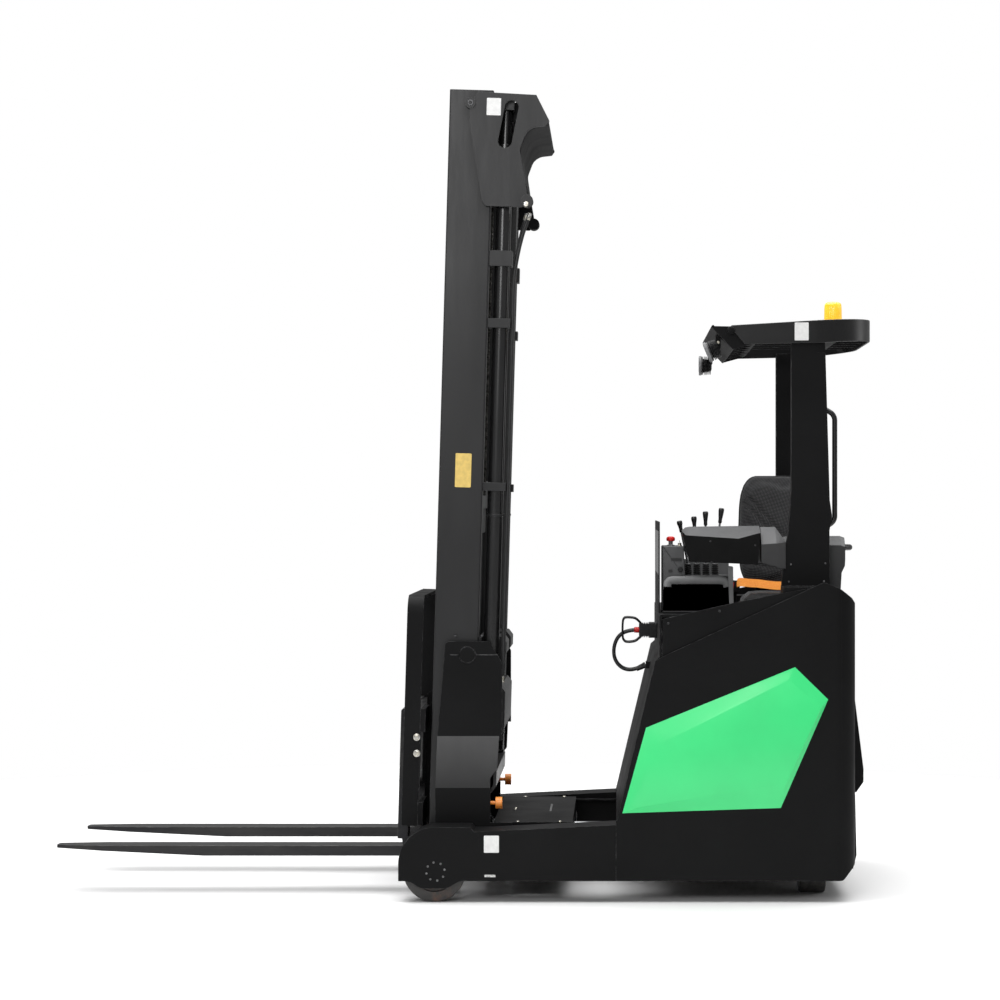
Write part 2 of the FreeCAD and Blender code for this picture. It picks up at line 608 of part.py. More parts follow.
def free_barrel():
    base = MAST_BOTTOM_Z + 40
    tube = pipe((FREE_X, 0, base + 15), (FREE_X, 0, FREE_BARREL_TOP_Z), FREE_BARREL_R,
                FREE_ROD_R + 5)
    foot = rod((FREE_X, 0, base), (FREE_X, 0, base + 15), FREE_BARREL_R)
    gland = pipe((FREE_X, 0, FREE_BARREL_TOP_Z), (FREE_X, 0, FREE_BARREL_TOP_Z + 30),
                 FREE_BARREL_R + 4, FREE_ROD_R + FIT)
    return join(tube, foot, gland)


def free_ram():
    """The free-lift ram with its cross head and two chain pulleys."""
    top = FREE_BARREL_TOP_Z + 160
    shaft = rod((FREE_X, 0, MAST_BOTTOM_Z + 70 + 60), (FREE_X, 0, top), FREE_ROD_R)
    head = block(FREE_X - 30, FREE_X + 30, -36, 36, top, top + 70)
    pin = rod((FREE_X, -95, top + 35), (FREE_X, 95, top + 35), 14)
    made = join(shaft, head, pin)
    for side in (-1, 1):
        pulley = rod((FREE_X, side * 46, top + 35), (FREE_X, side * 86, top + 35), 55)
        groove = pipe((FREE_X, side * 54, top + 35), (FREE_X, side * 78, top + 35), 56, 42)
        made = join(made, pulley.cut(groove))
    return made


# ---- carriage, backrest and forks ----------------------------------------------------------
def fork_carriage():
    """Roller plates inside the inner stage, with two bars in front of the mast."""
    inner = RAIL_OUTER_Y - 2 * STAGE_STEP_Y
    plate_y = inner - 50 - GAP
    depth = RAIL_DEPTH - 2 * STAGE_STEP_X
    roller_x = RAIL_FRONT_X + depth / 2
    roller_r = depth / 2 - RAIL_FLANGE - ROLLER_PLAY
    roller_y = inner - RAIL_WEB - RAIL_FILLET - 1
    pieces = []
    for side in (-1, 1):
        pieces.append(side_shape([
            (-50, 262), (20, 200, 30), (105, 200, 30), (105, 770, 30), (0, 800, 30), (-50, 760),
        ], side * (plate_y - 14), side * plate_y))
        for z in (262, 700):
            pieces.append(rod((roller_x, side * (plate_y - 2), z),
                              (roller_x, side * roller_y, z), roller_r))
    bar_x = BACKREST_FRONT_X + BACKREST_DEPTH
    for z in GUIDE_ZS:
        pieces.append(block(bar_x, bar_x + 20, -BRACKET_OUTER_Y, BRACKET_OUTER_Y, z - 45, z + 45))
    anchor_y = plate_y - 14
    pieces.append(block(-50, -20, -anchor_y, anchor_y, 470, 520))
    return join(*pieces)


def load_backrest():
    """Inverted U of flat bar; its feet carry the two guide rods of the side shift."""
    rear = BACKREST_FRONT_X + BACKREST_DEPTH
    half, wall = BRACKET_OUTER_Y, BACKREST_WALL
    foot_z = 262.0
    outer = [(-half, foot_z), (-half, BACKREST_TOP_Z, BACKREST_BEND_R),
             (half, BACKREST_TOP_Z, BACKREST_BEND_R), (half, foot_z), (half - wall, foot_z),
             (half - wall, BACKREST_TOP_Z - wall, BACKREST_BEND_R - wall),
             (-half + wall, BACKREST_TOP_Z - wall, BACKREST_BEND_R - wall), (-half + wall, foot_z)]
    frame = end_shape(outer, BACKREST_FRONT_X, rear)
    guides = [rod((GUIDE_X, -half + wall, z), (GUIDE_X, half - wall, z), GUIDE_R)
              for z in GUIDE_ZS]
    return join(frame, *guides)


def fork_bars():
    """The two bars that the forks hang on; they slide along the guide rods."""
    half = FORK_SPREAD / 2 + FORK_WIDTH / 2 + 14
    shank_back = SHANK_FRONT_X + FORK_THICKNESS
    made = []
    for z in GUIDE_ZS:
        bar = block(shank_back, GUIDE_X + 18, -half, half, z - 30, z + 30)
        bar = bar.cut(rod((GUIDE_X, -half - 1, z), (GUIDE_X, half + 1, z), GUIDE_R + FIT))
        made.append(bar)
    return Part.makeCompound(made)


def fork():
    """A level blade that tapers to its tip, on a shank that follows the mast's lean."""
    y0 = -FORK_SPREAD / 2 - FORK_WIDTH / 2
    y1 = y0 + FORK_WIDTH
    low_z = FORK_TOP_Z - FORK_THICKNESS
    heel_x, tip_x = HEEL_X, FORK_TIP_X
    shank = lean(side_shape([
        (SHANK_FRONT_X, low_z + 60), (SHANK_FRONT_X, SHANK_TOP_Z, 10),
        (SHANK_FRONT_X + FORK_THICKNESS, SHANK_TOP_Z), (SHANK_FRONT_X + FORK_THICKNESS, low_z + 60),
    ], y0, y1))
    blade = side_shape([
        (tip_x, FORK_TOP_Z), (heel_x + 8, FORK_TOP_Z, 1), (heel_x + 4, low_z + 76),
        (heel_x + 36, low_z + 76), (heel_x + 30, low_z, 24), (tip_x + 580, low_z),
        (tip_x, FORK_TOP_Z - 12),
    ], y0, y1)
    point = plan_shape([
        (tip_x, y0 + 25, 12), (tip_x, y1 - 25, 12), (tip_x + 180, y1), (heel_x + 80, y1),
        (heel_x + 80, y0), (tip_x + 180, y0),
    ], 0, 400)
    return join(shank, blade.common(point))


# ---- tractor body -------------------------------------------------------------------------
def body_outline():
    return [
        (BODY_FRONT_X, LEG_TOP_REAR_Z), (841, SLOPE_TOP_Z, 12), (865, 934, 8), (1483, 1219, 20),
        (1550, 1190, 10), (1591, 1158, 12), (REAR_X, 1136, 10), (REAR_X, 142, 20),
        (1556, GROUND_CLEARANCE, 20), (BODY_FRONT_X, GROUND_CLEARANCE),
    ]


def side_panel():
    """Side skin that turns round the rear corner."""
    inner_r = CORNER_R - SKIN
    band = plan_shape([
        (BODY_FRONT_X, -HALF_WIDTH), (REAR_X, -HALF_WIDTH, CORNER_R), (REAR_X, -480),
        (REAR_X - SKIN, -480), (REAR_X - SKIN, -HALF_WIDTH + SKIN, inner_r),
        (BODY_FRONT_X, -HALF_WIDTH + SKIN),
    ], 0, 1300)
    profile = side_shape(body_outline(), -HALF_WIDTH - 1, -400)
    return band.common(profile)


def battery_cover():
    """Faceted green cover on the side panel."""
    rise = 14.0
    base = [(716, 341), (806, 666), (1372, 896), (1498, 773), (1318, 361)]
    face = [(775, 364), (837, 593), (1348, 845), (1472, 747), (1338, 456)]
    wires = []
    for points, y in ((base, -HALF_WIDTH), (face, -HALF_WIDTH - rise)):
        corners = [V(x, y, z) for x, z in points]
        wires.append(Part.makePolygon(corners + corners[:1]))
    return Part.makeLoft(wires, True, True)


def upper_panel():
    """Recessed panel that shows above the side skin's sloping edge."""
    return side_shape([
        (868, 1078), (1140, 1140), (1312, 1174), (1483, 1205), (1483, 1150), (868, 880),
    ], -HALF_WIDTH + SKIN, -HALF_WIDTH + 2 * SKIN)


def slope_outline():
    """Outer face of the sloped front wall, from the shelf to the upright part."""
    foot = BODY_FRONT_X + (DECK_Z - LEG_TOP_REAR_Z) * (841 - BODY_FRONT_X) / (
        SLOPE_TOP_Z - LEG_TOP_REAR_Z)
    return [(foot, DECK_Z), (841, SLOPE_TOP_Z), (WALL_X, SLOPE_TOP_Z + 14)]


def front_wall():
    """Sloped wall over the reach tunnel, an upright wall with a screen, and the plug's gland."""
    half = HALF_WIDTH - SKIN
    foot, knee, upright = slope_outline()
    sheet = side_shape([
        foot, knee, upright, (WALL_X, HOOD_TOP_Z), (WALL_X + SKIN, HOOD_TOP_Z),
        (WALL_X + SKIN, SLOPE_TOP_Z + 8), (knee[0] + 8, knee[1] - 6), (foot[0] + 9, DECK_Z),
    ], -half, half)
    screen = block(WALL_X, WALL_X + 5, -440, 440, HOOD_TOP_Z, SCREEN_TOP_Z)
    window = block(WALL_X - 1, WALL_X + 6, -380, 380, 1240, SCREEN_TOP_Z - 37)
    gland = side_shape([(CABLE_END[0], 852), (CABLE_END[0], 880), (850, 880), (850, 852)],
                       -30, 30)
    return join(sheet, screen.cut(window), gland)


def rear_frame():
    """Battery shelf, bulkhead and drive deck, tied to the legs' inner plates."""
    half = HALF_WIDTH - SKIN
    shelf = block(BODY_FRONT_X + 2, 1060, -half, half, DECK_Z - 14, DECK_Z)
    bulkhead = block(LEG_REAR_X, LEG_REAR_X + 14, -half, half, 95, DECK_Z)
    barrel_hole = rod((LEG_REAR_X - 1, 0, 213), (LEG_REAR_X + 15, 0, 213), 36)
    deck = block(1060, REAR_X - SKIN, -half, half, DECK_Z - 14, DECK_Z)
    corner = plan_shape([
        (1000, -half), (REAR_X - SKIN, -half, CORNER_R - SKIN), (REAR_X - SKIN, half,
                                                               CORNER_R - SKIN), (1000, half),
    ], 0, 2000)
    turntable = rod((WHEELBASE, DRIVE_Y, DECK_Z - 15), (WHEELBASE, DRIVE_Y, DECK_Z + 1), 92)
    swivel = rod((WHEELBASE, CASTOR_Y, DECK_Z - 15), (WHEELBASE, CASTOR_Y, DECK_Z + 1), 20 + FIT)
    cradle = block(1440, 1500, -60, 60, 160, DECK_Z - 14)
    seat_hole = rod((1400, 0, 213), (1507, 0, 213), 36)
    deck = deck.common(corner)
    whole = join(shelf, bulkhead, deck, cradle)
    return whole.cut(join(barrel_hole, seat_hole)).cut(turntable).cut(swivel)


def rear_wall():
    """Rear wall with a doorway over the floor and a recess for the step."""
    x0, x1 = REAR_X - SKIN, REAR_X
    wall = block(x0, x1, -480, 480, 150, 1130)
    doorway = block(x0 - 1, x1 + 1, DOOR_Y[0], DOOR_Y[1], FLOOR_Z, 1131)
    recess = block(x0 - 1, x1 + 1, DOOR_Y[0], DOOR_Y[1], STEP_Z, FLOOR_Z - 30)
    return wall.cut(doorway).cut(recess)


def rear_step():
    """Step box in the recess, with cheeks and a bumper that stand out behind the rear wall."""
    y0, y1 = DOOR_Y
    box_x = 1430.0
    tread = block(box_x, REAR_X, y0, y1, STEP_Z - 14, STEP_Z)
    back = block(box_x, box_x + 8, y0, y1, STEP_Z, FLOOR_Z - 30)
    roof = block(box_x, REAR_X - SKIN, y0, y1, FLOOR_Z - 30, FLOOR_Z - 22)
    nose = side_shape([(REAR_X, 395), (1624, 400, 10), (STEP_REAR_X, 440, 8),
                       (STEP_REAR_X, 484, 6), (REAR_X, 484)], y0, y1)
    outline = [(REAR_X, 395), (1624, 400, 10), (STEP_REAR_X, 440, 8), (STEP_REAR_X, 490, 6),
               (1614, 790, 6), (REAR_X, 790)]
    cheeks = [side_shape(outline, y0 - 60, y0), side_shape(outline, y1, y1 + 60)]
    bumper = side_shape([(REAR_X, 398), (1616, 398, 6), (1621, 160, 12), (REAR_X, 105)],
                        -470, 470)
    return join(tread, back, roof, nose, bumper, *cheeks)


def floor_plate():
    """Operator's floor, with three pedals on it."""
    half = HALF_WIDTH - SKIN
    sheet = plan_shape([
        (HOOD_REAR_X, -half), (REAR_X - SKIN, -half, CORNER_R - SKIN),
        (REAR_X - SKIN, half, CORNER_R - SKIN), (HOOD_REAR_X, half),
    ], FLOOR_Z - 10, FLOOR_Z)
    treadles = [side_shape([(x, FLOOR_Z), (x + 70, FLOOR_Z), (x + 70, FLOOR_Z + 30),
                            (x, FLOOR_Z + 60)], -330, -230) for x in (1200, 1290)]
    return join(sheet, *treadles)


def battery():
    length, width, height = BATTERY_SIZE
    front = 885.0
    return block(front, front + length, -width / 2, width / 2, DECK_Z, DECK_Z + height)


def battery_hood():
    """Cover over the battery; its rear wall parts the battery from the operator."""
    half = HALF_WIDTH - 2 * SKIN
    top = block(WALL_X + SKIN, HOOD_REAR_X, -half, half, HOOD_TOP_Z - 12, HOOD_TOP_Z)
    back = block(HOOD_REAR_X - 12, HOOD_REAR_X, -half, half, DECK_Z, HOOD_TOP_Z)
    return join(top, back, upper_panel(), mirrored(upper_panel()))


def battery_connector():
    """Two-part plug on the front wall with a lifting handle round it."""
    half = 34.0
    socket = block(WALL_X - 32, WALL_X, -half, half, 976, 1038)
    plug = block(WALL_X - 72, WALL_X - 32, -half + 4, half - 4, 981, 1033)
    low, high = 956, 1058
    outer = block(WALL_X - 142, WALL_X - 30, -half - 4, half + 4, low, high)
    inner = block(WALL_X - 134, WALL_X - 38, -half - 5, half + 5, low + 8, high - 8)
    handle = outer.cut(inner).cut(block(WALL_X - 143, WALL_X, -half, half, low + 8, high - 8))
    rails = [block(WALL_X - 134, WALL_X - 38, s * half, s * (half + 4), z, z + 8)
             for s in (-1, 1) for z in (low, high - 8)]
    clear = handle.cut(block(WALL_X - 134, WALL_X, -half, half, low - 6, high + 2))
    hubs = [block(WALL_X - 38, WALL_X - 30, s * half, s * (half + 4), low, high)
            for s in (-1, 1)]
    return join(socket, plug, clear, *rails, *hubs)


def cable(y):
    """Power cable from the plug round to the gland in the sloped wall."""
    return tube_along([V(x, y, z) for x, z in CABLE_ROUTE], CABLE_R)


def hydraulics_hood():
    """Hood on the floor behind the seat."""
    half = HALF_WIDTH - 2 * SKIN
    outer = block(HOOD_REAR_X, 1535, 450, half, FLOOR_Z, PILLAR_FOOT_Z)
    inner = block(HOOD_REAR_X + 6, 1529, 456, half - 6, FLOOR_Z - 1, PILLAR_FOOT_Z - 6)
    return outer.cut(inner)


# ---- operator's place ----------------------------------------------------------------------
def lever_console():
    """Moulded console with a knee recess, and a raised block for the switches."""
    shell = side_shape([
        (872, HOOD_TOP_Z), (872, 1352, 6), (955, 1352, 6), (960, CONSOLE_TOP_Z, 4),
        (HOOD_REAR_X, CONSOLE_TOP_Z, 6), (HOOD_REAR_X, HOOD_TOP_Z),
    ], -430, -150)
    recess = side_shape([(878, HOOD_TOP_Z + 10), (878, 1206, 22), (1130, 1200, 22),
                         (1130, HOOD_TOP_Z + 10)], -431, -210)
    return shell.cut(recess)


def hand_controls():
    """Four hydraulic levers, the stop button and the key switch."""
    made = []
    for x, (tip_x, tip_z) in zip(LEVER_XS, LEVER_TOPS):
        boot = rod((x, LEVER_Y, CONSOLE_TOP_Z), (x, LEVER_Y, CONSOLE_TOP_Z + 45), 13)
        root = V(x, LEVER_Y, CONSOLE_TOP_Z + 40)
        tip = V(tip_x, LEVER_Y, tip_z)
        knob_start = root + (tip - root) * 0.76
        stem = rod(tuple(root), tuple(knob_start + (tip - root) * 0.05), 5)
        knob = rod(tuple(knob_start), tuple(tip), 10.5)
        made.append(join(boot, stem, knob))
    stop_stem = rod((905, -380, 1352), (905, -380, 1375), 8)
    stop_head = rod((905, -380, 1375), (905, -380, 1390), 17)
    key = rod((940, -380, 1352), (940, -380, 1374), 7)
    return Part.makeCompound([*made, join(stop_stem, stop_head), key])


def dash_console():
    """Housing in front of the operator, with a sloped top."""
    body = end_shape([
        (-505, 1287), (-505, 1394, 6), (-395, 1430, 10), (-330, 1416, 10), (-290, 1330, 20),
        (-330, 1287, 10),
    ], 944, 1250)
    trim = side_shape([
        (976, 1287, 8), (953, 1318, 6), (944, 1402, 4), (970, 1434), (1250, 1434), (1250, 1269),
        (1235, 1269),
    ], -600, -200)
    low = end_shape([(-500, 1268), (-500, 1300), (-300, 1300), (-300, 1268)], 1180, 1250)
    switches = block(860, 961, -431, -150, CONSOLE_TOP_Z, 1353)
    return join(body, low).common(trim).cut(switches)


def dash_base():
    """Beam that carries the housing and runs behind the left pillar, with the wheel's shelf."""
    beam = end_shape([
        (-435, 1180), (-435, 1356, 6), (-395, 1392, 6), (-310, 1370, 10), (-310, 1250),
        (-345, 1180),
    ], 1250, 1581)
    relief = block(1249, 1370, -436, -300, 1179, 1268)
    post = block(1440, 1560, -440, -385, FLOOR_Z, 1180)
    arm = end_shape([
        (-500, 1289), (-500, 1356, 4), (-450, 1428, 6), (-400, 1392), (-400, 1289),
    ], 1250, 1322)
    x, y, z = STEER_AT
    shelf = block(x - 45, x + 45, -320, y + 45, z - 70, z - 30)
    bore = rod((x, y, z - 71), (x, y, z), STEER_SHAFT_R + FIT)
    return join(beam.cut(relief), post, arm, shelf).cut(bore)


def steering_wheel():
    """Small wheel with three spokes, a hub, a spinner knob and a shaft into its shelf."""
    x, y, z = STEER_AT
    rim = Part.makeTorus(100, 12, V(x, y, z + 34), V(0, 0, 1))
    hub = rod((x, y, z - 25), (x, y, z + 44), 26)
    shaft = rod((x, y, z - 66), (x, y, z), STEER_SHAFT_R)
    spokes = []
    for turn in (90, 210, 330):
        angle = math.radians(turn)
        end = (x + 100 * math.cos(angle), y + 100 * math.sin(angle), z + 34)
        spokes.append(rod((x, y, z + 32), end, 8))
    knob = rod((x - 92, y, z + 38), (x - 92, y, z + 84), 15)
    return join(rim, hub, shaft, *spokes, knob)


def recline(shape):
    copy = shape.copy()
    copy.rotate(V(SEAT_X, SEAT_BACK_Y, 1165), V(1, 0, 0), -3)
    return copy


def seat_frame():
    """Pedestal, seat pan and the bracket that holds the backrest."""
    bracket = recline(block(SEAT_X - 110, SEAT_X + 110, SEAT_BACK_Y + 90 + SEAT_GAP,
                            SEAT_BACK_Y + 100, 1015, 1290))
    return join(block(SEAT_X - 150, SEAT_X + 150, 10, 380, FLOOR_Z, 1010),
                block(SEAT_X - 175, SEAT_X + 175, -20, SEAT_BACK_Y + 92, 1010, 1040), bracket)


def seat_cushion():
    half = SEAT_WIDTH / 2
    return plan_shape([(SEAT_X - half, -60, 60), (SEAT_X + half, -60, 60),
                       (SEAT_X + half, 370, 30), (SEAT_X - half, 370, 30)],
                      1040 + SEAT_GAP, 1160)


def seat_backrest():
    half = SEAT_WIDTH / 2
    return recline(Part.Face(rounded_wire([
        (SEAT_X - half + 22, 1166, 60), (SEAT_X - half, 1420, 150), (SEAT_X - half + 40, 1637, 90),
        (SEAT_X + half - 40, 1637, 90), (SEAT_X + half, 1420, 150), (SEAT_X + half - 22, 1166, 60),
    ], lambda p: V(p.x, SEAT_BACK_Y, p.y))).extrude(V(0, 90, 0)))


# ---- overhead guard ------------------------------------------------------------------------
def guard_pillar():
    outer = -GUARD_HALF_WIDTH + RING_WALL
    return join(side_shape([
        (1368, 2150), (1498, 2150), (1516, 1530), (1525, 1470, 40), (1515, 1414), (1515, 1150),
        (1327, 1150), (1332, 1215), (1338, 1300), (1350, 1369), (1357, 1416), (1368, 1560),
    ], outer, outer + PILLAR_THICK), side_shape([
        (1327, PILLAR_FOOT_Z), (1330, 1200), (1515, 1200), (1515, PILLAR_FOOT_Z),
    ], -HALF_WIDTH + 2 * SKIN, outer + PILLAR_THICK)).cut(guard_band())


def guard_plan(inset):
    half = GUARD_HALF_WIDTH - inset
    rear = GUARD_REAR_X - inset
    radius = 240.0 - inset
    return [(1000, -half), (rear, -half, radius), (rear, half, radius), (1000, half)]


def guard_band():
    """Upright strip along the guard's sides and round its rear corners."""
    return plan_shape(guard_plan(0), 2100, 2300).cut(plan_shape(guard_plan(RING_WALL), 2099, 2301))


def guard_ring():
    """Tapered band that follows the sides and the rounded rear of the guard."""
    profile = side_shape([
        (1188, 2131, 6), (1128, 2204, 6), (1544, 2229), (1700, 2238), (1700, 2154), (1500, 2138),
    ], -600, 600)
    return guard_band().common(profile)


def guard_roof():
    """Slanted front panel, two cross bars and seven lengthwise bars between them."""
    half = GUARD_HALF_WIDTH - RING_WALL
    panel = side_shape([
        (1058, 2200, 4), (1066, 2208, 4), (1152, 2119, 4), (1144, 2111, 4)], -half, half)
    cheeks = [side_shape([(1062, 2202), (1148, 2115), (1215, 2133), (1160, 2200)],
                         s * half, s * (half - 6)) for s in (-1, 1)]
    inner = plan_shape(guard_plan(RING_WALL), 2000, 2300)
    cross = [block(x, x + 40, -half, half, 2140, 2165).common(inner) for x in (1196, 1500)]
    bars = [block(1120, 1700, i * 130 - 4, i * 130 + 4, 2165, 2205).common(inner)
            for i in range(-3, 4)]
    nose = side_shape([(1100, 2160), (1140, 2123), (1240, 2140), (1240, 2165), (1120, 2170)],
                      -4, 4)
    noses = []
    for i in range(-3, 4):
        piece = nose.copy()
        piece.translate(V(0, i * 130, 0))
        noses.append(piece)
    pad = block(1520, 1620, -62, 62, 2205, 2213)
    return join(panel, pad, *cheeks, *cross, *bars, *noses)


def beacon():
    base = rod((1570, 0, 2213), (1570, 0, 2245), 40)
    lens = rod((1570, 0, 2245), (1570, 0, 2334), 36)
    top = [e for e in lens.Edges if abs(e.CenterOfMass.z - 2334) < 1]
    return join(base, lens.makeFillet(8, top))


def work_light(side, z, tilt):
    """Round lamp on a bracket under the slanted front panel, aimed down by its tilt."""
    y = side * LIGHT_Y
    lamp = rod((LIGHT_X - 27, y, z), (LIGHT_X + 27, y, z), 41)
    lamp.rotate(V(LIGHT_X, y, z), V(0, 1, 0), -tilt)
    above = side_shape([(1000, 2260), (1058, 2200), (1144, 2111), (1144, 2300), (1000, 2300)],
                       -600, 600)
    bracket = block(LIGHT_X + 10, LIGHT_X + 30, y - 12, y + 12, z, 2260).cut(above)
    return join(lamp, bracket)


def grab_rail():
    """Bent tube behind the left pillar."""
    y = -GUARD_HALF_WIDTH + RING_WALL + PILLAR_THICK / 2
    points = [(1496, 1884), (1537, 1860), (1537, 1450), (1500, 1426)]
    return tube_along([V(x, y, z) for x, z in points], 10).cut(guard_pillar())


# ---- drive and castor ----------------------------------------------------------------------
def drive_unit():
    """Gear leg beside the wheel, turntable ring and motor; the wheel stands across the truck."""
    x, y = WHEELBASE, DRIVE_Y
    ring = rod((x, y, DECK_Z - 40), (x, y, DECK_Z - 15), 112)
    neck = rod((x, y, DECK_Z - 40), (x, y, DECK_Z + 20), 91.5)
    motor = rod((x, y, DECK_Z + 20), (x, y, STEP_Z - 30), 105)
    leg_x = x + DRIVE_WHEEL_WIDTH / 2 + 8
    gear = rod((leg_x, y, DRIVE_WHEEL_R), (leg_x + 36, y, DRIVE_WHEEL_R), 62)
    fall = block(leg_x, leg_x + 36, y - 50, y + 50, DRIVE_WHEEL_R, DECK_Z - 38)
    top = block(x - 60, leg_x + 36, y - 70, y + 70, DECK_Z - 52, DECK_Z - 38)
    hub = rod((x - 40, y, DRIVE_WHEEL_R), (leg_x, y, DRIVE_WHEEL_R), 24)
    return join(ring, neck, motor, gear, fall, top, hub)


def drive_wheel():
    x, y, r = WHEELBASE, DRIVE_Y, DRIVE_WHEEL_R
    half = DRIVE_WHEEL_WIDTH / 2
    tread = rod((x - half, y, r), (x + half, y, r), r)
    tread = tread.makeFillet(8, [e for e in tread.Edges if e.Length > 700])
    return tread.cut(rod((x - half - 1, y, r), (x + half + 1, y, r), 24 + FIT))


def castor_fork():
    x, y = WHEELBASE, CASTOR_Y
    stem = rod((x, y, DECK_Z - 40), (x, y, DECK_Z + 30), 20)
    plate = block(x - 50, x + 60, y - 46, y + 46, DECK_Z - 52, DECK_Z - 15)
    axle_x = x + CASTOR_TRAIL
    sides = [side_shape([(x - 20, DECK_Z - 50), (axle_x - 24, CASTOR_R), (axle_x - 18, 50, 18),
                         (axle_x + 22, 50, 18), (axle_x + 24, CASTOR_R), (x + 60, DECK_Z - 50)],
                        y + s * 38, y + s * 46) for s in (-1, 1)]
    axle = rod((axle_x, y - 46, CASTOR_R), (axle_x, y + 46, CASTOR_R), 10)
    return join(stem, plate, *sides, axle)


def castor_wheel():
    x, y = WHEELBASE + CASTOR_TRAIL, CASTOR_Y
    tread = rod((x, y - 30, CASTOR_R), (x, y + 30, CASTOR_R), CASTOR_R)
    tread = tread.makeFillet(6, [e for e in tread.Edges if e.Length > 400])
    return tread.cut(rod((x, y - 31, CASTOR_R), (x, y + 31, CASTOR_R), 10 + FIT))


# ---- write every node ----------------------------------------------------------------------
PAIRS = {
    "leg": leg, "load_wheel": load_wheel, "side_panel": side_panel,
    "guard_pillar": guard_pillar, "fork": fork,
}
SINGLES = {
    "battery_covers": lambda: both_sides(battery_cover()),
    "mast_brackets": lambda: both_sides(mast_bracket()),
    "work_lights": lambda: Part.makeCompound([work_light(-1, 2113, 23), work_light(1, 2098, 0)]),
    "reach_frame": reach_frame, "reach_rollers": reach_rollers, "reach_buffers": reach_buffers,
    "reach_ram": reach_ram, "reach_barrel": reach_barrel, "tilt_barrels": tilt_barrels,
    "tilt_rods": tilt_rods, "front_wall": front_wall, "rear_frame": rear_frame,
    "rear_wall": lambda: join(rear_wall(), rear_step()), "floor_plate": floor_plate,
    "battery": battery, "battery_hood": battery_hood, "battery_connector": battery_connector,
    "battery_cable_left": lambda: cable(-13), "battery_cable_right": lambda: cable(13),
    "hydraulics_hood": hydraulics_hood, "lever_console": lever_console,
    "hand_controls": hand_controls, "dash_console": dash_console, "dash_base": dash_base,
    "steering_wheel": steering_wheel, "seat_frame": seat_frame, "seat_cushion": seat_cushion,
    "seat_backrest": seat_backrest, "guard_ring": guard_ring, "guard_roof": guard_roof,
    "beacon": beacon, "grab_rail": grab_rail, "drive_unit": drive_unit,
    "drive_wheel": drive_wheel, "castor_fork": castor_fork, "castor_wheel": castor_wheel,
}
LEANING = {
    "outer_rails": lambda: both_sides(outer_rail()), "mast_head": mast_head,
    "outer_beams": lambda: Part.makeCompound([outer_beams(), cylinder_clamps()]),
    "lift_barrels": lift_barrels, "mast_hoses": mast_hoses,
    "middle_stage": middle_stage, "lift_rods": lift_rods, "inner_stage": inner_stage,
    "free_barrel": free_barrel, "free_ram": free_ram, "fork_carriage": fork_carriage,
    "load_backrest": load_backrest, "fork_bars": fork_bars,
}

os.makedirs("parts", exist_ok=True)
for name, make in PAIRS.items():
    left = make()
    save("left_" + name, left)
    save("right_" + name, mirrored(left))
for name, make in SINGLES.items():
    save(name, make())
for name, make in LEANING.items():
    save(name, lean(make()))
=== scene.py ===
import math

import bmesh
import bpy
from bpy.props import FloatProperty, FloatVectorProperty, PointerProperty
from mathutils import Matrix, Vector


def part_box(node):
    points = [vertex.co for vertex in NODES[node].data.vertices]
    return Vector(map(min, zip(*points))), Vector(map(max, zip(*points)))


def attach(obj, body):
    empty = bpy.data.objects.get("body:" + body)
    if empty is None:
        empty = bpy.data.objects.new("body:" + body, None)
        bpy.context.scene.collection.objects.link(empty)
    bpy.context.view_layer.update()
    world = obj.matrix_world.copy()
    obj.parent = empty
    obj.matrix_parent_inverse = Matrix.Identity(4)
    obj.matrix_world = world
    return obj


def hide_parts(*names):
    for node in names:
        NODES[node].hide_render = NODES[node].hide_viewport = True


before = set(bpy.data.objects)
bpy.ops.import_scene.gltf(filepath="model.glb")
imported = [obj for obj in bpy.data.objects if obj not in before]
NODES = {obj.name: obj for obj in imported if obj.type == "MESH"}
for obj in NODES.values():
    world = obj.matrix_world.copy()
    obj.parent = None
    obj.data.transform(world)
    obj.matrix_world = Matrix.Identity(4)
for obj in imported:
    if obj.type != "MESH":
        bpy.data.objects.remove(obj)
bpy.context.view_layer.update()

bl_info = {
    "name": "Reach truck",
    "version": (1, 0, 0),
    "blender": (4, 5, 0),
    "location": "View3D > Sidebar > Reach truck",
    "description": "Builds the finishes, controls, seat, lights and stage of a reach truck",
    "category": "Add Mesh",
}

X_AXIS = Vector((1, 0, 0))
Y_AXIS = Vector((0, 1, 0))
Z_AXIS = Vector((0, 0, 1))


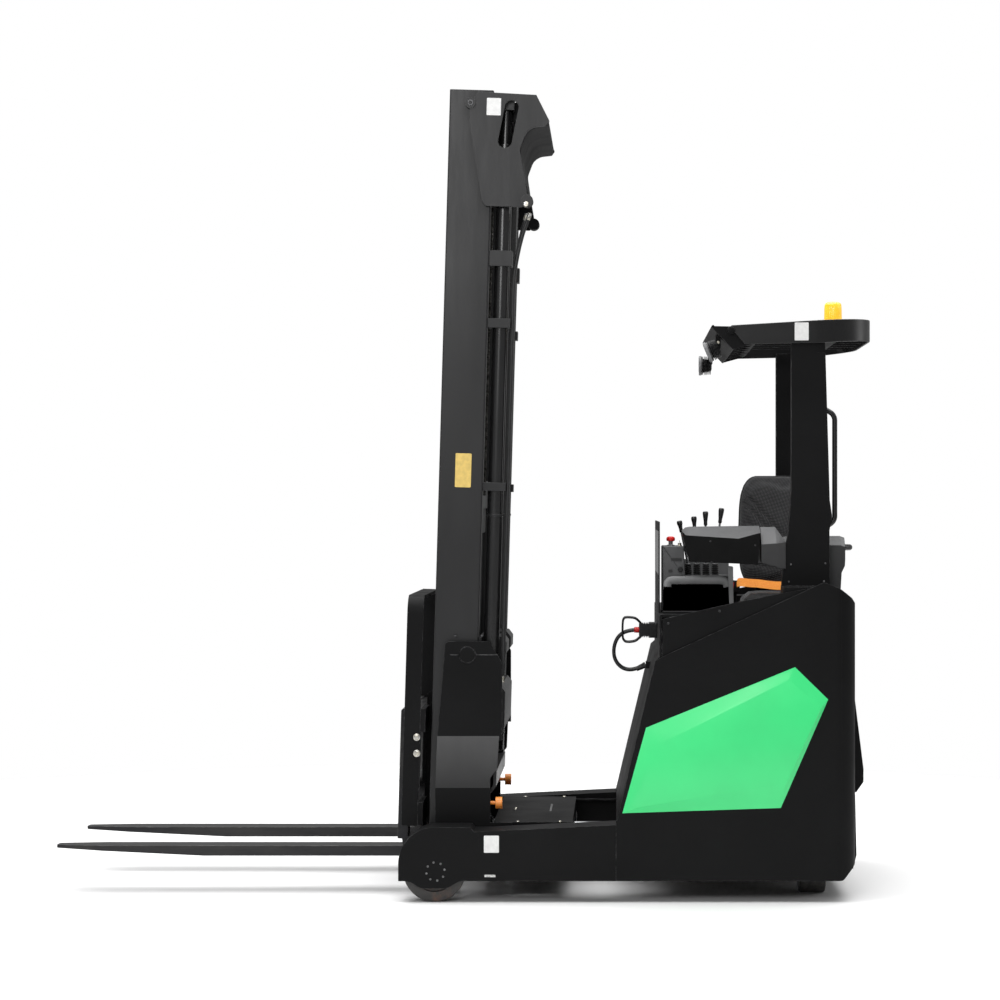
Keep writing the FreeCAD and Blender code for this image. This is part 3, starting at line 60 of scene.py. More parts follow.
# ---- shader nodes --------------------------------------------------------------------------
class Finish:
    """A material in the making: its shader, and short ways to add nodes before it."""

    def __init__(self, name, colour, roughness, metallic=0.0, **sockets):
        self.material = bpy.data.materials.new(name)
        self.material.use_nodes = True
        self.tree = self.material.node_tree
        self.shader = self.tree.nodes["Principled BSDF"]
        self.colour = tuple(colour)
        self.set("Base Color", (*colour, 1.0))
        self.set("Roughness", roughness)
        self.set("Metallic", metallic)
        for socket, value in sockets.items():
            self.set(socket.replace("_", " "), value)
        self.place = self.add("ShaderNodeTexCoord").outputs["Object"]
        self.normal = None

    def set(self, socket, value):
        """Gives the shader's socket a plain value, or another node's output."""
        if isinstance(value, bpy.types.NodeSocket):
            self.tree.links.new(value, self.shader.inputs[socket])
        else:
            self.shader.inputs[socket].default_value = value

    def add(self, kind, inputs=None, **settings):
        """A new node; inputs gives its sockets, by name or number, values or other outputs."""
        node = self.tree.nodes.new(kind)
        for key, value in settings.items():
            setattr(node, key, value)
        for key, value in (inputs or {}).items():
            if isinstance(value, bpy.types.NodeSocket):
                self.tree.links.new(value, node.inputs[key])
            else:
                node.inputs[key].default_value = value
        return node

    def math(self, operation, *values):
        """The result of one arithmetic step on numbers or outputs."""
        return self.add("ShaderNodeMath", dict(enumerate(values)), operation=operation).outputs[0]

    def stretched(self, scale, turn=(0, 0, 0)):
        """Object coordinates, stretched and turned."""
        inputs = {"Vector": self.place, "Scale": scale, "Rotation": turn}
        return self.add("ShaderNodeMapping", inputs).outputs[0]

    def noise(self, scale, detail=2.0, rough=0.5, place=None):
        inputs = {"Vector": place or self.place, "Scale": scale, "Detail": detail,
                  "Roughness": rough}
        return self.add("ShaderNodeTexNoise", inputs).outputs[0]

    def cells(self, scale):
        """Round cells; gives Distance and Color."""
        return self.add("ShaderNodeTexVoronoi", {"Vector": self.place, "Scale": scale}).outputs

    def spread(self, value, low, high, to_low=0.0, to_high=1.0):
        """value, stretched from the range low…high to the range to_low…to_high."""
        inputs = {"Value": value, "From Min": low, "From Max": high, "To Min": to_low,
                  "To Max": to_high}
        return self.add("ShaderNodeMapRange", inputs).outputs[0]

    def uneven(self, value, low, high):
        """Lets the roughness wander from low to high with the value."""
        self.set("Roughness", self.spread(value, 0.3, 0.7, low, high))

    def mixed(self, share, first, second):
        """A colour from first, where share is 0, to second, where it is 1."""
        first = first if isinstance(first, bpy.types.NodeSocket) else (*first, 1.0)
        second = second if isinstance(second, bpy.types.NodeSocket) else (*second, 1.0)
        node = self.add("ShaderNodeMix", {0: share, 6: first, 7: second}, data_type="RGBA")
        return node.outputs[2]

    def tinted(self, share, first, second):
        """Mixes the base colour from two."""
        self.set("Base Color", self.mixed(share, first, second))

    def split(self):
        """The object's X, Y and Z coordinates."""
        return self.add("ShaderNodeSeparateXYZ", {0: self.place}).outputs

    def bump(self, height, depth, strength=1.0):
        """Relief of this depth in metres on top of what the surface has."""
        inputs = {"Height": height, "Distance": depth, "Strength": strength}
        if self.normal:
            inputs["Normal"] = self.normal
        self.normal = self.add("ShaderNodeBump", inputs).outputs[0]
        self.set("Normal", self.normal)

    def soft_edges(self, radius):
        """Edges that catch the light as if rounded; returns a mask that is 1 along them."""
        rounded = self.add("ShaderNodeBevel", {"Radius": radius}, samples=4).outputs[0]
        flat = self.add("ShaderNodeNewGeometry").outputs["Normal"]
        along = self.add("ShaderNodeVectorMath", {0: rounded, 1: flat}, operation="DOT_PRODUCT")
        self.normal = rounded
        self.set("Normal", rounded)
        return self.spread(along.outputs["Value"], 0.995, 0.8)

    def edge_wear_and_highlight(self, mask, colour, amount, scale=60.0):
        """Rubs the colour along the masked edges, in patches: edge wear, and on some coats also a
        painted highlight where edges catch the light.
        """
        patches = self.spread(self.noise(scale, 4.0, 0.65), 0.42, 0.62)
        share = self.math("MULTIPLY", self.math("MULTIPLY", mask, patches), amount)
        source = self.shader.inputs["Base Color"]
        base = source.links[0].from_socket if source.links else source.default_value[:3]
        self.set("Base Color", self.mixed(share, base, colour))


def varied(finish, spread, scale):
    """Cloudy variation of the finish's own colour, up and down by a share of it."""
    low = tuple(c * (1 - spread) for c in finish.colour)
    high = tuple(min(1.0, c * (1 + spread)) for c in finish.colour)
    clouds = finish.spread(finish.noise(scale, 3.0), 0.35, 0.65)
    finish.set("Base Color", finish.mixed(clouds, low, high))


# ---- finishes ------------------------------------------------------------------------------
finishes = {}


def finish_of(name):
    """The material of that name, made the first time that it is asked for."""
    if name not in finishes:
        finishes[name] = FINISHES[name](name).material
    return finishes[name]


def powder_coat(name):
    colour = bpy.context.scene.truck_paint.coat
    made = Finish(name, colour, 0.5, Specular_IOR_Level=0.1)
    varied(made, 0.12, 3.0)
    # pale edges: partly edge wear, partly a painted highlight standing in for light catching the
    # panel edges
    made.edge_wear_and_highlight(made.soft_edges(0.0025), (0.20, 0.20, 0.204), 0.75, 30.0)
    grain = made.noise(650.0, 2.0, 0.6)
    made.uneven(made.noise(5.0, 4.0), 0.46, 0.58)
    made.bump(grain, 0.00022, 0.5)
    return made


def satin_coat(name):
    """A smoother, paler copy of the black coat for the slightly upward-slanted plates: the
    paleness is painted light, lighter still towards the top.
    """
    made = Finish(name, (0.03, 0.03, 0.0306), 0.38, Specular_IOR_Level=0.4)
    height = made.split()[2]
    # painted light: the tone grows paler with height over the slanted band
    painted_top_light = made.spread(height, 0.42, 0.62)
    streaks = made.noise(8.0, 4.0, 0.6, made.stretched((1.0, 1.0, 0.4)))
    tone = made.mixed(painted_top_light, (0.018, 0.018, 0.0184), (0.075, 0.075, 0.076))
    made.tinted(made.spread(streaks, 0.3, 0.7, 0.0, 0.35), tone, (0.02, 0.02, 0.0204))
    made.soft_edges(0.003)
    made.bump(made.noise(650.0, 2.0, 0.6), 0.0002, 0.4)
    return made


def gloss_enamel(name):
    colour = bpy.context.scene.truck_paint.coat
    made = Finish(name, colour, 0.3, Specular_IOR_Level=0.5)
    varied(made, 0.1, 3.0)
    made.edge_wear_and_highlight(made.soft_edges(0.003), (0.12, 0.12, 0.122), 0.5)
    made.uneven(made.noise(9.0, 4.0), 0.26, 0.36)
    made.bump(made.noise(160.0, 3.0), 0.0003, 0.3)
    return made


def mast_paint(name):
    colour = bpy.context.scene.truck_paint.mast
    made = Finish(name, colour, 0.4, Specular_IOR_Level=0.3)
    varied(made, 0.1, 2.0)
    # pale edges: partly edge wear, partly a painted highlight where the edges catch the light
    made.edge_wear_and_highlight(made.soft_edges(0.002), (0.22, 0.22, 0.224), 0.7, 30.0)
    scale_marks = made.noise(18.0, 5.0, 0.6, made.stretched((1.0, 1.0, 0.12)))
    made.uneven(scale_marks, 0.30, 0.42)
    made.bump(scale_marks, 0.0006, 0.35)
    made.bump(made.noise(700.0, 2.0), 0.00018, 0.45)
    return made


def cylinder_paint(name):
    """Glossy black on the lift cylinders and their rods."""
    made = Finish(name, (0.008, 0.008, 0.0083), 0.22, Specular_IOR_Level=0.7)
    varied(made, 0.15, 5.0)
    made.soft_edges(0.001)
    streaks = made.noise(30.0, 4.0, 0.6, made.stretched((1.0, 1.0, 0.05)))
    made.uneven(streaks, 0.18, 0.30)
    made.bump(streaks, 0.0002, 0.3)
    return made


def bellows_rubber(name):
    made = Finish(name, (0.022, 0.022, 0.0225), 0.4, Sheen_Weight=0.1, Sheen_Roughness=0.5)
    varied(made, 0.2, 30.0)
    made.bump(made.noise(700.0, 2.0), 0.0002, 0.4)
    return made


def satin_green(name):
    colour = bpy.context.scene.truck_paint.cover
    made = Finish(name, colour, 0.36, Coat_Weight=0.2, Coat_Roughness=0.2)
    varied(made, 0.04, 4.0)
    made.uneven(made.noise(9.0, 3.0), 0.32, 0.41)
    made.bump(made.noise(480.0, 2.0), 0.00012, 0.4)
    return made


# colour, roughness, grain per metre, depth of the grain, and shine
MOULDED = {
    "grey moulding": ((0.074, 0.075, 0.077), 0.42, 1100.0, 0.00016, 0.35),
    "pale grey moulding": ((0.21, 0.212, 0.215), 0.42, 1100.0, 0.00016, 0.35),
    "charcoal moulding": ((0.034, 0.034, 0.035), 0.48, 1000.0, 0.0002, 0.35),
    "glossy black moulding": ((0.0022, 0.0022, 0.0023), 0.4, 1300.0, 0.00012, 0.15),
    "smooth black plastic": ((0.012, 0.012, 0.013), 0.28, 1500.0, 0.00006, 0.35),
    "red plastic": ((0.55, 0.012, 0.01), 0.34, 1500.0, 0.00005, 0.35),
    "grey plastic": ((0.17, 0.172, 0.176), 0.4, 1200.0, 0.00008, 0.35),
}


def moulded(name):
    """Moulded plastic with a fine leather-like grain."""
    colour, roughness, grain, depth, shine = MOULDED[name]
    made = Finish(name, colour, roughness, Specular_IOR_Level=shine)
    varied(made, 0.1, 7.0)
    made.soft_edges(0.0018)
    made.uneven(made.noise(12.0, 3.0), roughness - 0.05, roughness + 0.06)
    made.bump(made.cells(grain)["Distance"], depth, 0.6)
    return made


def rubber(name):
    made = Finish(name, (0.010, 0.010, 0.0105), 0.42, Sheen_Weight=0.06, Sheen_Roughness=0.5)
    varied(made, 0.25, 14.0)
    made.bump(made.noise(420.0, 3.0), 0.0003, 0.5)
    return made


def tyre_tread(name):
    """Polyurethane: darker, scuffed running face between cleaner flanks."""
    made = Finish(name, (0.10, 0.062, 0.04), 0.5, Coat_Weight=0.1, Coat_Roughness=0.35)
    scuffs = made.noise(38.0, 6.0, 0.7, made.stretched((1.0, 0.35, 1.0)))
    warm = made.spread(made.noise(7.0, 3.0), 0.48, 0.66)
    patch = made.mixed(warm, (0.040, 0.036, 0.034), (0.17, 0.075, 0.038))
    made.tinted(made.spread(scuffs, 0.4, 0.66), (0.02, 0.019, 0.018), patch)
    made.uneven(scuffs, 0.38, 0.66)
    made.bump(scuffs, 0.0007, 0.5)
    made.bump(made.noise(300.0, 3.0), 0.0003, 0.4)
    return made


def drive_tread(name):
    """Dark grey running face of the driving and guiding wheels."""
    made = Finish(name, (0.03, 0.029, 0.028), 0.55)
    scuffs = made.noise(45.0, 6.0, 0.7)
    made.tinted(made.spread(scuffs, 0.4, 0.62), (0.018, 0.018, 0.018), (0.06, 0.057, 0.053))
    made.bump(scuffs, 0.0006, 0.5)
    return made


def buffer_orange(name):
    made = Finish(name, (0.93, 0.30, 0.045), 0.4, Subsurface_Weight=0.15, Coat_Weight=0.2)
    varied(made, 0.12, 40.0)
    made.soft_edges(0.002)
    made.bump(made.noise(500.0, 2.0), 0.0002, 0.4)
    return made


def chrome(name):
    made = Finish(name, (0.34, 0.345, 0.355), 0.14, 1.0)
    rings = made.noise(1400.0, 2.0, 0.5, made.stretched((1.0, 1.0, 1.0)))
    made.uneven(made.noise(60.0, 4.0), 0.08, 0.2)
    made.bump(rings, 0.00003, 0.3)
    return made


def zinc(name):
    """Yellowish-white passivated zinc on nuts and bolts."""
    made = Finish(name, (0.55, 0.54, 0.5), 0.33, 1.0)
    tint = made.spread(made.noise(70.0, 3.0), 0.35, 0.65)
    made.tinted(tint, (0.46, 0.46, 0.45), (0.66, 0.62, 0.52))
    made.uneven(made.noise(240.0, 3.0), 0.24, 0.44)
    made.soft_edges(0.0006)
    made.bump(made.noise(900.0, 2.0), 0.0001, 0.4)
    return made


def dark_screw(name):
    made = Finish(name, (0.06, 0.06, 0.062), 0.34, 0.85)
    made.uneven(made.noise(300.0, 2.0), 0.26, 0.42)
    made.soft_edges(0.0005)
    return made


def fork_steel(name):
    """Dark rolled steel, brighter where loads and the floor rub it."""
    made = Finish(name, (0.028, 0.028, 0.03), 0.34, 0.75)
    edges = made.soft_edges(0.0025)
    streaks = made.noise(26.0, 6.0, 0.65, made.stretched((0.06, 1.0, 0.25)))
    made.tinted(made.spread(streaks, 0.42, 0.8), (0.021, 0.021, 0.023), (0.058, 0.057, 0.055))
    made.edge_wear_and_highlight(edges, (0.36, 0.35, 0.34), 0.9, 45.0)
    made.uneven(streaks, 0.24, 0.45)
    made.bump(streaks, 0.0004, 0.35)
    made.bump(made.noise(500.0, 2.0), 0.00015, 0.4)
    return made


def chain_steel(name):
    made = Finish(name, (0.07, 0.068, 0.064), 0.36, 0.9)
    oil = made.spread(made.noise(90.0, 4.0), 0.35, 0.65)
    made.tinted(oil, (0.035, 0.033, 0.03), (0.15, 0.145, 0.135))
    made.uneven(made.noise(120.0, 3.0), 0.22, 0.46)
    return made


def woven(made, warp, weft, depth, strength, turn=(0.0, 0.0, 0.0)):
    """Threads over and under each other; returns the weave's relief as a number."""
    place = made.stretched((1.0, 1.0, 1.0), turn)
    axes = made.add("ShaderNodeSeparateXYZ", {0: place}).outputs
    across = made.math("SINE", made.math("MULTIPLY", axes[0], warp))
    along = made.math("SINE", made.math("MULTIPLY", made.math("ADD", axes[2], axes[1]), weft))
    relief = made.math("MULTIPLY", across, along)
    made.bump(relief, depth, strength)
    return relief


def seat_fabric(name):
    """Charcoal seat cloth with a small diagonal dot weave."""
    colour = bpy.context.scene.truck_seat.cloth
    made = Finish(name, colour, 0.9, Sheen_Weight=0.14, Sheen_Roughness=0.4)
    relief = woven(made, 2 * math.pi / 0.0085, 2 * math.pi / 0.0085, 0.0009, 0.9,
                   (0.0, math.radians(38.0), 0.0))
    dots = made.spread(relief, 0.25, 0.75)
    clouds = made.spread(made.noise(22.0, 3.0), 0.35, 0.65)
    base = made.mixed(clouds, tuple(c * 0.45 for c in colour), tuple(c * 0.7 for c in colour))
    made.tinted(dots, base, tuple(c * 5.0 for c in colour))
    made.bump(made.noise(900.0, 3.0, 0.7), 0.0003, 0.4)
    made.bump(made.noise(9.0, 3.0), 0.004, 0.35)
    return made


def seat_vinyl(name):
    """Side cloth of the cushions, smoother than their faces."""
    made = Finish(name, (0.006, 0.006, 0.0064), 0.62, Specular_IOR_Level=0.12)
    varied(made, 0.2, 16.0)
    made.bump(made.cells(700.0)["Distance"], 0.00035, 0.6)
    made.bump(made.noise(12.0, 3.0), 0.003, 0.3)
    return made


def belt_webbing(name):
    """Bright lap belt: close herringbone ribs along the strap."""
    made = Finish(name, (0.95, 0.32, 0.025), 0.7, Sheen_Weight=0.04, Sheen_Roughness=0.4)
    relief = woven(made, 2 * math.pi / 0.0032, 2 * math.pi / 0.0021, 0.0005, 0.9)
    # painted shade: the weave's grooves darker and its ridges lighter, following the relief
    shade = made.spread(relief, -0.8, 0.8)
    made.tinted(shade, (0.90, 0.22, 0.012), (1.0, 0.40, 0.04))
    return made


def amber_glass(name):
    made = Finish(name, (0.95, 0.58, 0.03), 0.12, Transmission_Weight=0.35, IOR=1.49,
                  Coat_Weight=0.3, Coat_Roughness=0.05, Emission_Strength=0.35)
    made.set("Emission Color", (1.0, 0.62, 0.04, 1.0))
    depth = made.spread(made.noise(30.0, 2.0), 0.35, 0.65)
    made.tinted(depth, (0.92, 0.50, 0.02), (1.0, 0.70, 0.06))
    made.bump(made.noise(260.0, 2.0), 0.0001, 0.3)
    return made


def lamp_glass(name):
    made = Finish(name, (0.62, 0.64, 0.67), 0.08, Transmission_Weight=0.6, IOR=1.5)
    flutes = made.math("SINE", made.math("MULTIPLY", made.split()[1], 900.0))
    made.bump(flutes, 0.0006, 0.5)
    made.uneven(made.noise(80.0, 2.0), 0.05, 0.14)
    return made


def smoked_sheet(name):
    """Dark see-through guard sheet with paler cut edges."""
    made = Finish(name, (0.03, 0.033, 0.036), 0.12, Transmission_Weight=0.55, IOR=1.49)
    made.edge_wear_and_highlight(made.soft_edges(0.0015), (0.32, 0.33, 0.34), 1.0, 200.0)
    made.uneven(made.noise(40.0, 4.0), 0.08, 0.22)
    return made


def galvanised(name):
    """Bright speckled zinc sheet."""
    made = Finish(name, (0.5, 0.5, 0.5), 0.42, 0.8)
    flakes = made.cells(130.0)["Color"]
    tone = made.add("ShaderNodeSeparateXYZ", {0: flakes}).outputs[0]
    made.tinted(tone, (0.26, 0.26, 0.26), (0.72, 0.72, 0.71))
    made.set("Roughness", made.spread(tone, 0.0, 1.0, 0.3, 0.6))
    made.bump(made.noise(300.0, 3.0), 0.0004, 0.5)
    return made


def plate_white(name):
    """Blank satin film label."""
    made = Finish(name, (0.76, 0.76, 0.75), 0.32)
    varied(made, 0.05, 60.0)
    made.soft_edges(0.0004)
    made.bump(made.noise(220.0, 2.0), 0.00008, 0.4)
    return made


def plate_yellow(name):
    made = Finish(name, (0.74, 0.53, 0.15), 0.34)
    varied(made, 0.08, 60.0)
    made.bump(made.noise(220.0, 2.0), 0.00008, 0.4)
    return made


def battery_steel(name):
    made = Finish(name, (0.022, 0.022, 0.023), 0.5)
    varied(made, 0.2, 5.0)
    made.edge_wear_and_highlight(made.soft_edges(0.002), (0.12, 0.12, 0.12), 0.6)
    made.bump(made.noise(260.0, 4.0, 0.6), 0.0004, 0.5)
    return made


def floor_mat(name):
    """Ribbed rubber for feet to stand on."""
    made = Finish(name, (0.02, 0.02, 0.021), 0.66)
    varied(made, 0.3, 8.0)
    rib = made.math("ABSOLUTE", made.math("SINE", made.math("MULTIPLY", made.split()[1], 420.0)))
    made.bump(rib, 0.0016, 0.8)
    made.bump(made.noise(300.0, 3.0), 0.0003, 0.5)
    return made


def dull_steel(name):
    """Machined grey steel of hubs, pins and rollers."""
    made = Finish(name, (0.2, 0.2, 0.205), 0.38, 0.9)
    turned = made.noise(90.0, 3.0)
    made.tinted(made.spread(turned, 0.35, 0.65), (0.12, 0.12, 0.122), (0.28, 0.28, 0.285))
    made.uneven(turned, 0.3, 0.48)
    made.soft_edges(0.001)
    return made


FINISHES = {
    **dict.fromkeys(MOULDED, moulded),
    "black powder coat": powder_coat,
    "satin charcoal coat": satin_coat,
    "gloss black enamel": gloss_enamel,
    "mast paint": mast_paint,
    "gloss cylinder paint": cylinder_paint,
    "bellows rubber": bellows_rubber,
    "satin green": satin_green,
    "black rubber": rubber,
    "brown polyurethane": tyre_tread,
    "dark polyurethane": drive_tread,
    "orange polyurethane": buffer_orange,
    "hard chrome": chrome,
    "passivated zinc": zinc,
    "blackened screw": dark_screw,
    "worn fork steel": fork_steel,
    "oiled chain steel": chain_steel,
    "charcoal seat cloth": seat_fabric,
    "seat side vinyl": seat_vinyl,
    "orange webbing": belt_webbing,
    "amber lens": amber_glass,
    "fluted lamp glass": lamp_glass,
    "smoked sheet": smoked_sheet,
    "galvanised sheet": galvanised,
    "blank white plate": plate_white,
    "blank yellow plate": plate_yellow,
    "battery case paint": battery_steel,
    "ribbed floor mat": floor_mat,
    "machined steel": dull_steel,
}


# ---- meshes --------------------------------------------------------------------------------
def finished(name, mesh, body, slot, *finish_names):
    """An object at the origin with that mesh and those finishes, riding on the body."""
    mesh.name = name
    if mesh.materials:
        mesh.materials.clear()
    for finish in finish_names:
        mesh.materials.append(finish_of(finish))
    piece = bpy.data.objects.new(name, mesh)
    bpy.context.scene.collection.objects.link(piece)
    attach(piece, body)
    return piece


def piece_of(name, bm, body, slot, *finish_names, angle=35.0):
    """Closes a bmesh into a piece: flat faces stay flat, gentle bends are shaded smooth."""
    bmesh.ops.remove_doubles(bm, verts=bm.verts, dist=1e-6)
    bmesh.ops.recalc_face_normals(bm, faces=bm.faces)
    shade(bm, angle)
    mesh = bpy.data.meshes.new(name)
    bm.to_mesh(mesh)
    bm.free()
    return finished(name, mesh, body, slot, *finish_names)


def shade(bm, angle):
    """Smooth faces, with sharp edges where faces turn by more than the angle."""
    limit = math.radians(angle)
    for face in bm.faces:
        face.smooth = True
    for edge in bm.edges:
        edge.smooth = len(edge.link_faces) == 2 and edge.calc_face_angle(math.pi) < limit


def frame_along(direction):
    """A rotation whose Z runs along the direction, with X as near to upright as it can be."""
    z = Vector(direction).normalized()
    up = X_AXIS if abs(z.z) > 0.99 else Z_AXIS
    y = z.cross(up).normalized()
    return Matrix((y.cross(z), y, z)).transposed()


def ring(bm, points):
    return [bm.verts.new(p) for p in points]


def bridge(bm, first, second):
    """A band of quads between two rings of the same count."""
    for a, b, c, d in zip(first, first[1:] + first[:1], second[1:] + second[:1], second):
        bm.faces.new((a, b, c, d))


def skin(bm, rings, closed=False):
    """Bands between the rings in turn, capped at both ends or closed on themselves."""
    for first, second in zip(rings, rings[1:]):
        bridge(bm, first, second)
    if closed:
        bridge(bm, rings[-1], rings[0])
    else:
        bm.faces.new(rings[0][::-1])
        bm.faces.new(rings[-1])


def loft(bm, sections, closed=False):
    """A skin over sections of equal counts."""
    skin(bm, [ring(bm, points) for points in sections], closed)


def turned(bm, profile, origin, axis, steps=32, flutes=0, depth=0.0):
    """A lathed solid: profile holds (radius, distance along the axis) from end to end."""
    basis = frame_along(axis)
    origin = Vector(origin)
    rings = []
    for radius, height in profile:
        if radius <= 1e-9:
            rings.append([bm.verts.new(origin + basis @ Vector((0, 0, height)))])
            continue
        points = []
        for i in range(steps):
            angle = 2 * math.pi * i / steps
            reach = radius - depth * (0.5 - 0.5 * math.cos(flutes * angle))
            points.append(origin + basis @ Vector((reach * math.cos(angle),
                                                   reach * math.sin(angle), height)))
        rings.append(ring(bm, points))
    for first, second in zip(rings, rings[1:]):
        if len(first) == 1 or len(second) == 1:
            tip, around = (first[0], second) if len(first) == 1 else (second[0], first)
            for i in range(steps):
                bm.faces.new((tip, around[i], around[(i + 1) % steps]))
        else:
            bridge(bm, first, second)
    for end in (rings[0], rings[-1]):
        if len(end) > 1:
            bm.faces.new(end)


def prism(bm, outline, place, low, high):
    """A straight-sided solid: place(u, v, w) puts outline points between low and high."""
    loft(bm, [[place(u, v, w) for u, v in outline] for w in (low, high)])


def side_on(u, v, w):
    """Outline in X and Z, thickness along Y."""
    return Vector((u, w, v))


def from_above(u, v, w):
    """Outline in X and Y, thickness along Z."""
    return Vector((u, v, w))


def end_on(u, v, w):
    """Outline in Y and Z, thickness along X."""
    return Vector((w, u, v))


def rounded(points, radius, steps=4):
    """An outline with each corner replaced by an arc; a point may give its own radius."""
    made = []
    count = len(points)
    for i, point in enumerate(points):
        here = Vector(point[:2])
        size = point[2] if len(point) > 2 else radius
        back = Vector(points[i - 1][:2]) - here
        on = Vector(points[(i + 1) % count][:2]) - here
        half = back.angle(on) / 2
        reach = min(size / math.tan(half), 0.48 * back.length, 0.48 * on.length)
        if size <= 0 or reach < 1e-6 or half > math.radians(89):
            made.append(tuple(here))
            continue
        enter, leave = here + back.normalized() * reach, here + on.normalized() * reach
        for k in range(steps + 1):
            t = k / steps
            made.append(tuple(enter * (1 - t) ** 2 + here * (2 * t * (1 - t)) + leave * t ** 2))
    return made


def rectangle(low_u, low_v, high_u, high_v, radius, steps=4):
    """A rounded rectangle between two corners."""
    return rounded([(low_u, low_v), (high_u, low_v), (high_u, high_v), (low_u, high_v)],
                   radius, steps)


def swept(bm, points, radius, sides=12, closed=False):
    """A round tube that follows points without twisting."""
    points = [Vector(p) for p in points]
    count = len(points)
    rings = []
    basis = None
    for i, point in enumerate(points):
        before = points[i - 1] if closed or i else points[i]
        after = points[(i + 1) % count] if closed or i < count - 1 else points[i]
        along = (after - before).normalized()
        if basis is None:
            basis = frame_along(along)
        else:
            basis = basis.col[2].rotation_difference(along).to_matrix() @ basis
        rings.append(ring(bm, [
            point + basis @ Vector((radius * math.cos(2 * math.pi * k / sides),
                                    radius * math.sin(2 * math.pi * k / sides), 0))
            for k in range(sides)]))
    skin(bm, rings, closed)


def smooth_run(points, steps=6):
    """Points along a centripetal curve through the given ones."""
    points = [Vector(p) for p in points]
    ends = [points[0] * 2 - points[1], *points, points[-1] * 2 - points[-2]]
    made = []
    for a, b, c, d in zip(ends, ends[1:], ends[2:], ends[3:]):
        for k in range(steps):
            t = k / steps
            made.append(0.5 * (2 * b + (c - a) * t + (2 * a - 5 * b + 4 * c - d) * t ** 2
                               + (3 * b - a - 3 * c + d) * t ** 3))
    made.append(points[-1])
    return made


def with_bevel(piece, width, segments=2, angle=30.0):
    """Rounds the piece's edges for good."""
    bevel = piece.modifiers.new("rounded edges", "BEVEL")
    bevel.width = width
    bevel.segments = segments
    bevel.limit_method = "ANGLE"
    bevel.angle_limit = math.radians(angle)
    bevel.use_clamp_overlap = True
    bevel.harden_normals = True
    settle(piece)
    return piece


def settle(piece):
    """Applies every modifier of the piece to its mesh."""
    bpy.context.view_layer.update()
    seen = piece.evaluated_get(bpy.context.evaluated_depsgraph_get())
    mesh = bpy.data.meshes.new_from_object(seen)
    old = piece.data
    piece.modifiers.clear()
    piece.data = mesh
    mesh.name = piece.name
    bpy.data.meshes.remove(old)


def add_node(bm, node):
    """Adds the node's mesh to a bmesh, merged into clean faces."""
    known = set(bm.verts)
    bm.from_mesh(NODES[node].data)
    fresh = [v for v in bm.verts if v not in known]
    bmesh.ops.remove_doubles(bm, verts=fresh, dist=1e-5)
    edges = [e for e in bm.edges if e.verts[0] not in known]
    bmesh.ops.dissolve_limit(bm, angle_limit=math.radians(0.6), use_dissolve_boundaries=False,
                             verts=[v for v in bm.verts if v not in known], edges=edges)


def rounded_copy(name, nodes, body, slot, finishes, width, segments=3, angle=30.0,
                 choose=None):
    """A piece that stands for CAD nodes, with rounded edges; choose(face) gives its finish."""
    bm = bmesh.new()
    for node in nodes:
        add_node(bm, node)
    shade(bm, angle)
    if choose:
        bm.normal_update()
        for face in bm.faces:
            face.material_index = choose(face)
    mesh = bpy.data.meshes.new(name)
    bm.to_mesh(mesh)
    bm.free()
    piece = with_bevel(finished(name, mesh, body, slot, *finishes), width, segments, angle)
    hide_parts(*nodes)
    return piece


# ---- geometry node trees -------------------------------------------------------------------
def tree_with(name, **inputs):
    """A node tree with a geometry input and output and these further named inputs."""
    tree = bpy.data.node_groups.new(name, "GeometryNodeTree")
    tree.interface.new_socket("Geometry", in_out="INPUT", socket_type="NodeSocketGeometry")
    for label, kind in inputs.items():
        tree.interface.new_socket(label.replace("_", " "), in_out="INPUT",
                                  socket_type="NodeSocket" + kind)
    tree.interface.new_socket("Geometry", in_out="OUTPUT", socket_type="NodeSocketGeometry")
    return tree, tree.nodes.new("NodeGroupInput").outputs, tree.nodes.new("NodeGroupOutput")


def grow(tree, kind, inputs=None, **settings):
    """Adds a node to the tree; inputs gives values or other outputs, by name or number."""
    node = tree.nodes.new(kind)
    for key, value in settings.items():
        setattr(node, key, value)
    for key, value in (inputs or {}).items():
        if isinstance(value, bpy.types.NodeSocket):
            tree.links.new(value, node.inputs[key])
        else:
            node.inputs[key].default_value = value
    return node


def end_tree(tree, given, out, geometry):
    """Realizes the instances and sets their finish at the end of the tree."""
    real = grow(tree, "GeometryNodeRealizeInstances", {0: geometry})
    paint = grow(tree, "GeometryNodeSetMaterial",
                 {"Geometry": real.outputs[0], "Material": given["Finish"]})
    tree.links.new(paint.outputs[0], out.inputs[0])


def copies_tree():
    """Puts a shape on every point, its Z along the point's facing and turned by chance."""
    tree, given, out = tree_with("copies on points", Shape="Object", Size="Float",
                                 Turn="Float", Seed="Int", Finish="Material")
    shape = grow(tree, "GeometryNodeObjectInfo", {"Object": given["Shape"], "As Instance": True})
    facing = grow(tree, "GeometryNodeInputNamedAttribute", {"Name": "facing"},
                  data_type="FLOAT_VECTOR").outputs[0]
    aligned = grow(tree, "FunctionNodeAlignRotationToVector", {"Vector": facing}, axis="Z")
    chance = grow(tree, "FunctionNodeRandomValue", {"Seed": given["Seed"]}, data_type="FLOAT")
    tree.links.new(given["Turn"], chance.inputs[3])
    spin = grow(tree, "FunctionNodeAxisAngleToRotation",
                {"Axis": (0, 0, 1), "Angle": chance.outputs[1]})
    turned_by = grow(tree, "FunctionNodeRotateRotation",
                     {0: aligned.outputs[0], 1: spin.outputs[0]}, rotation_space="LOCAL")
    placed = grow(tree, "GeometryNodeInstanceOnPoints",
                  {"Points": given["Geometry"], "Instance": shape.outputs["Geometry"],
                   "Rotation": turned_by.outputs[0], "Scale": given["Size"]})
    end_tree(tree, given, out, placed.outputs[0])
    return tree


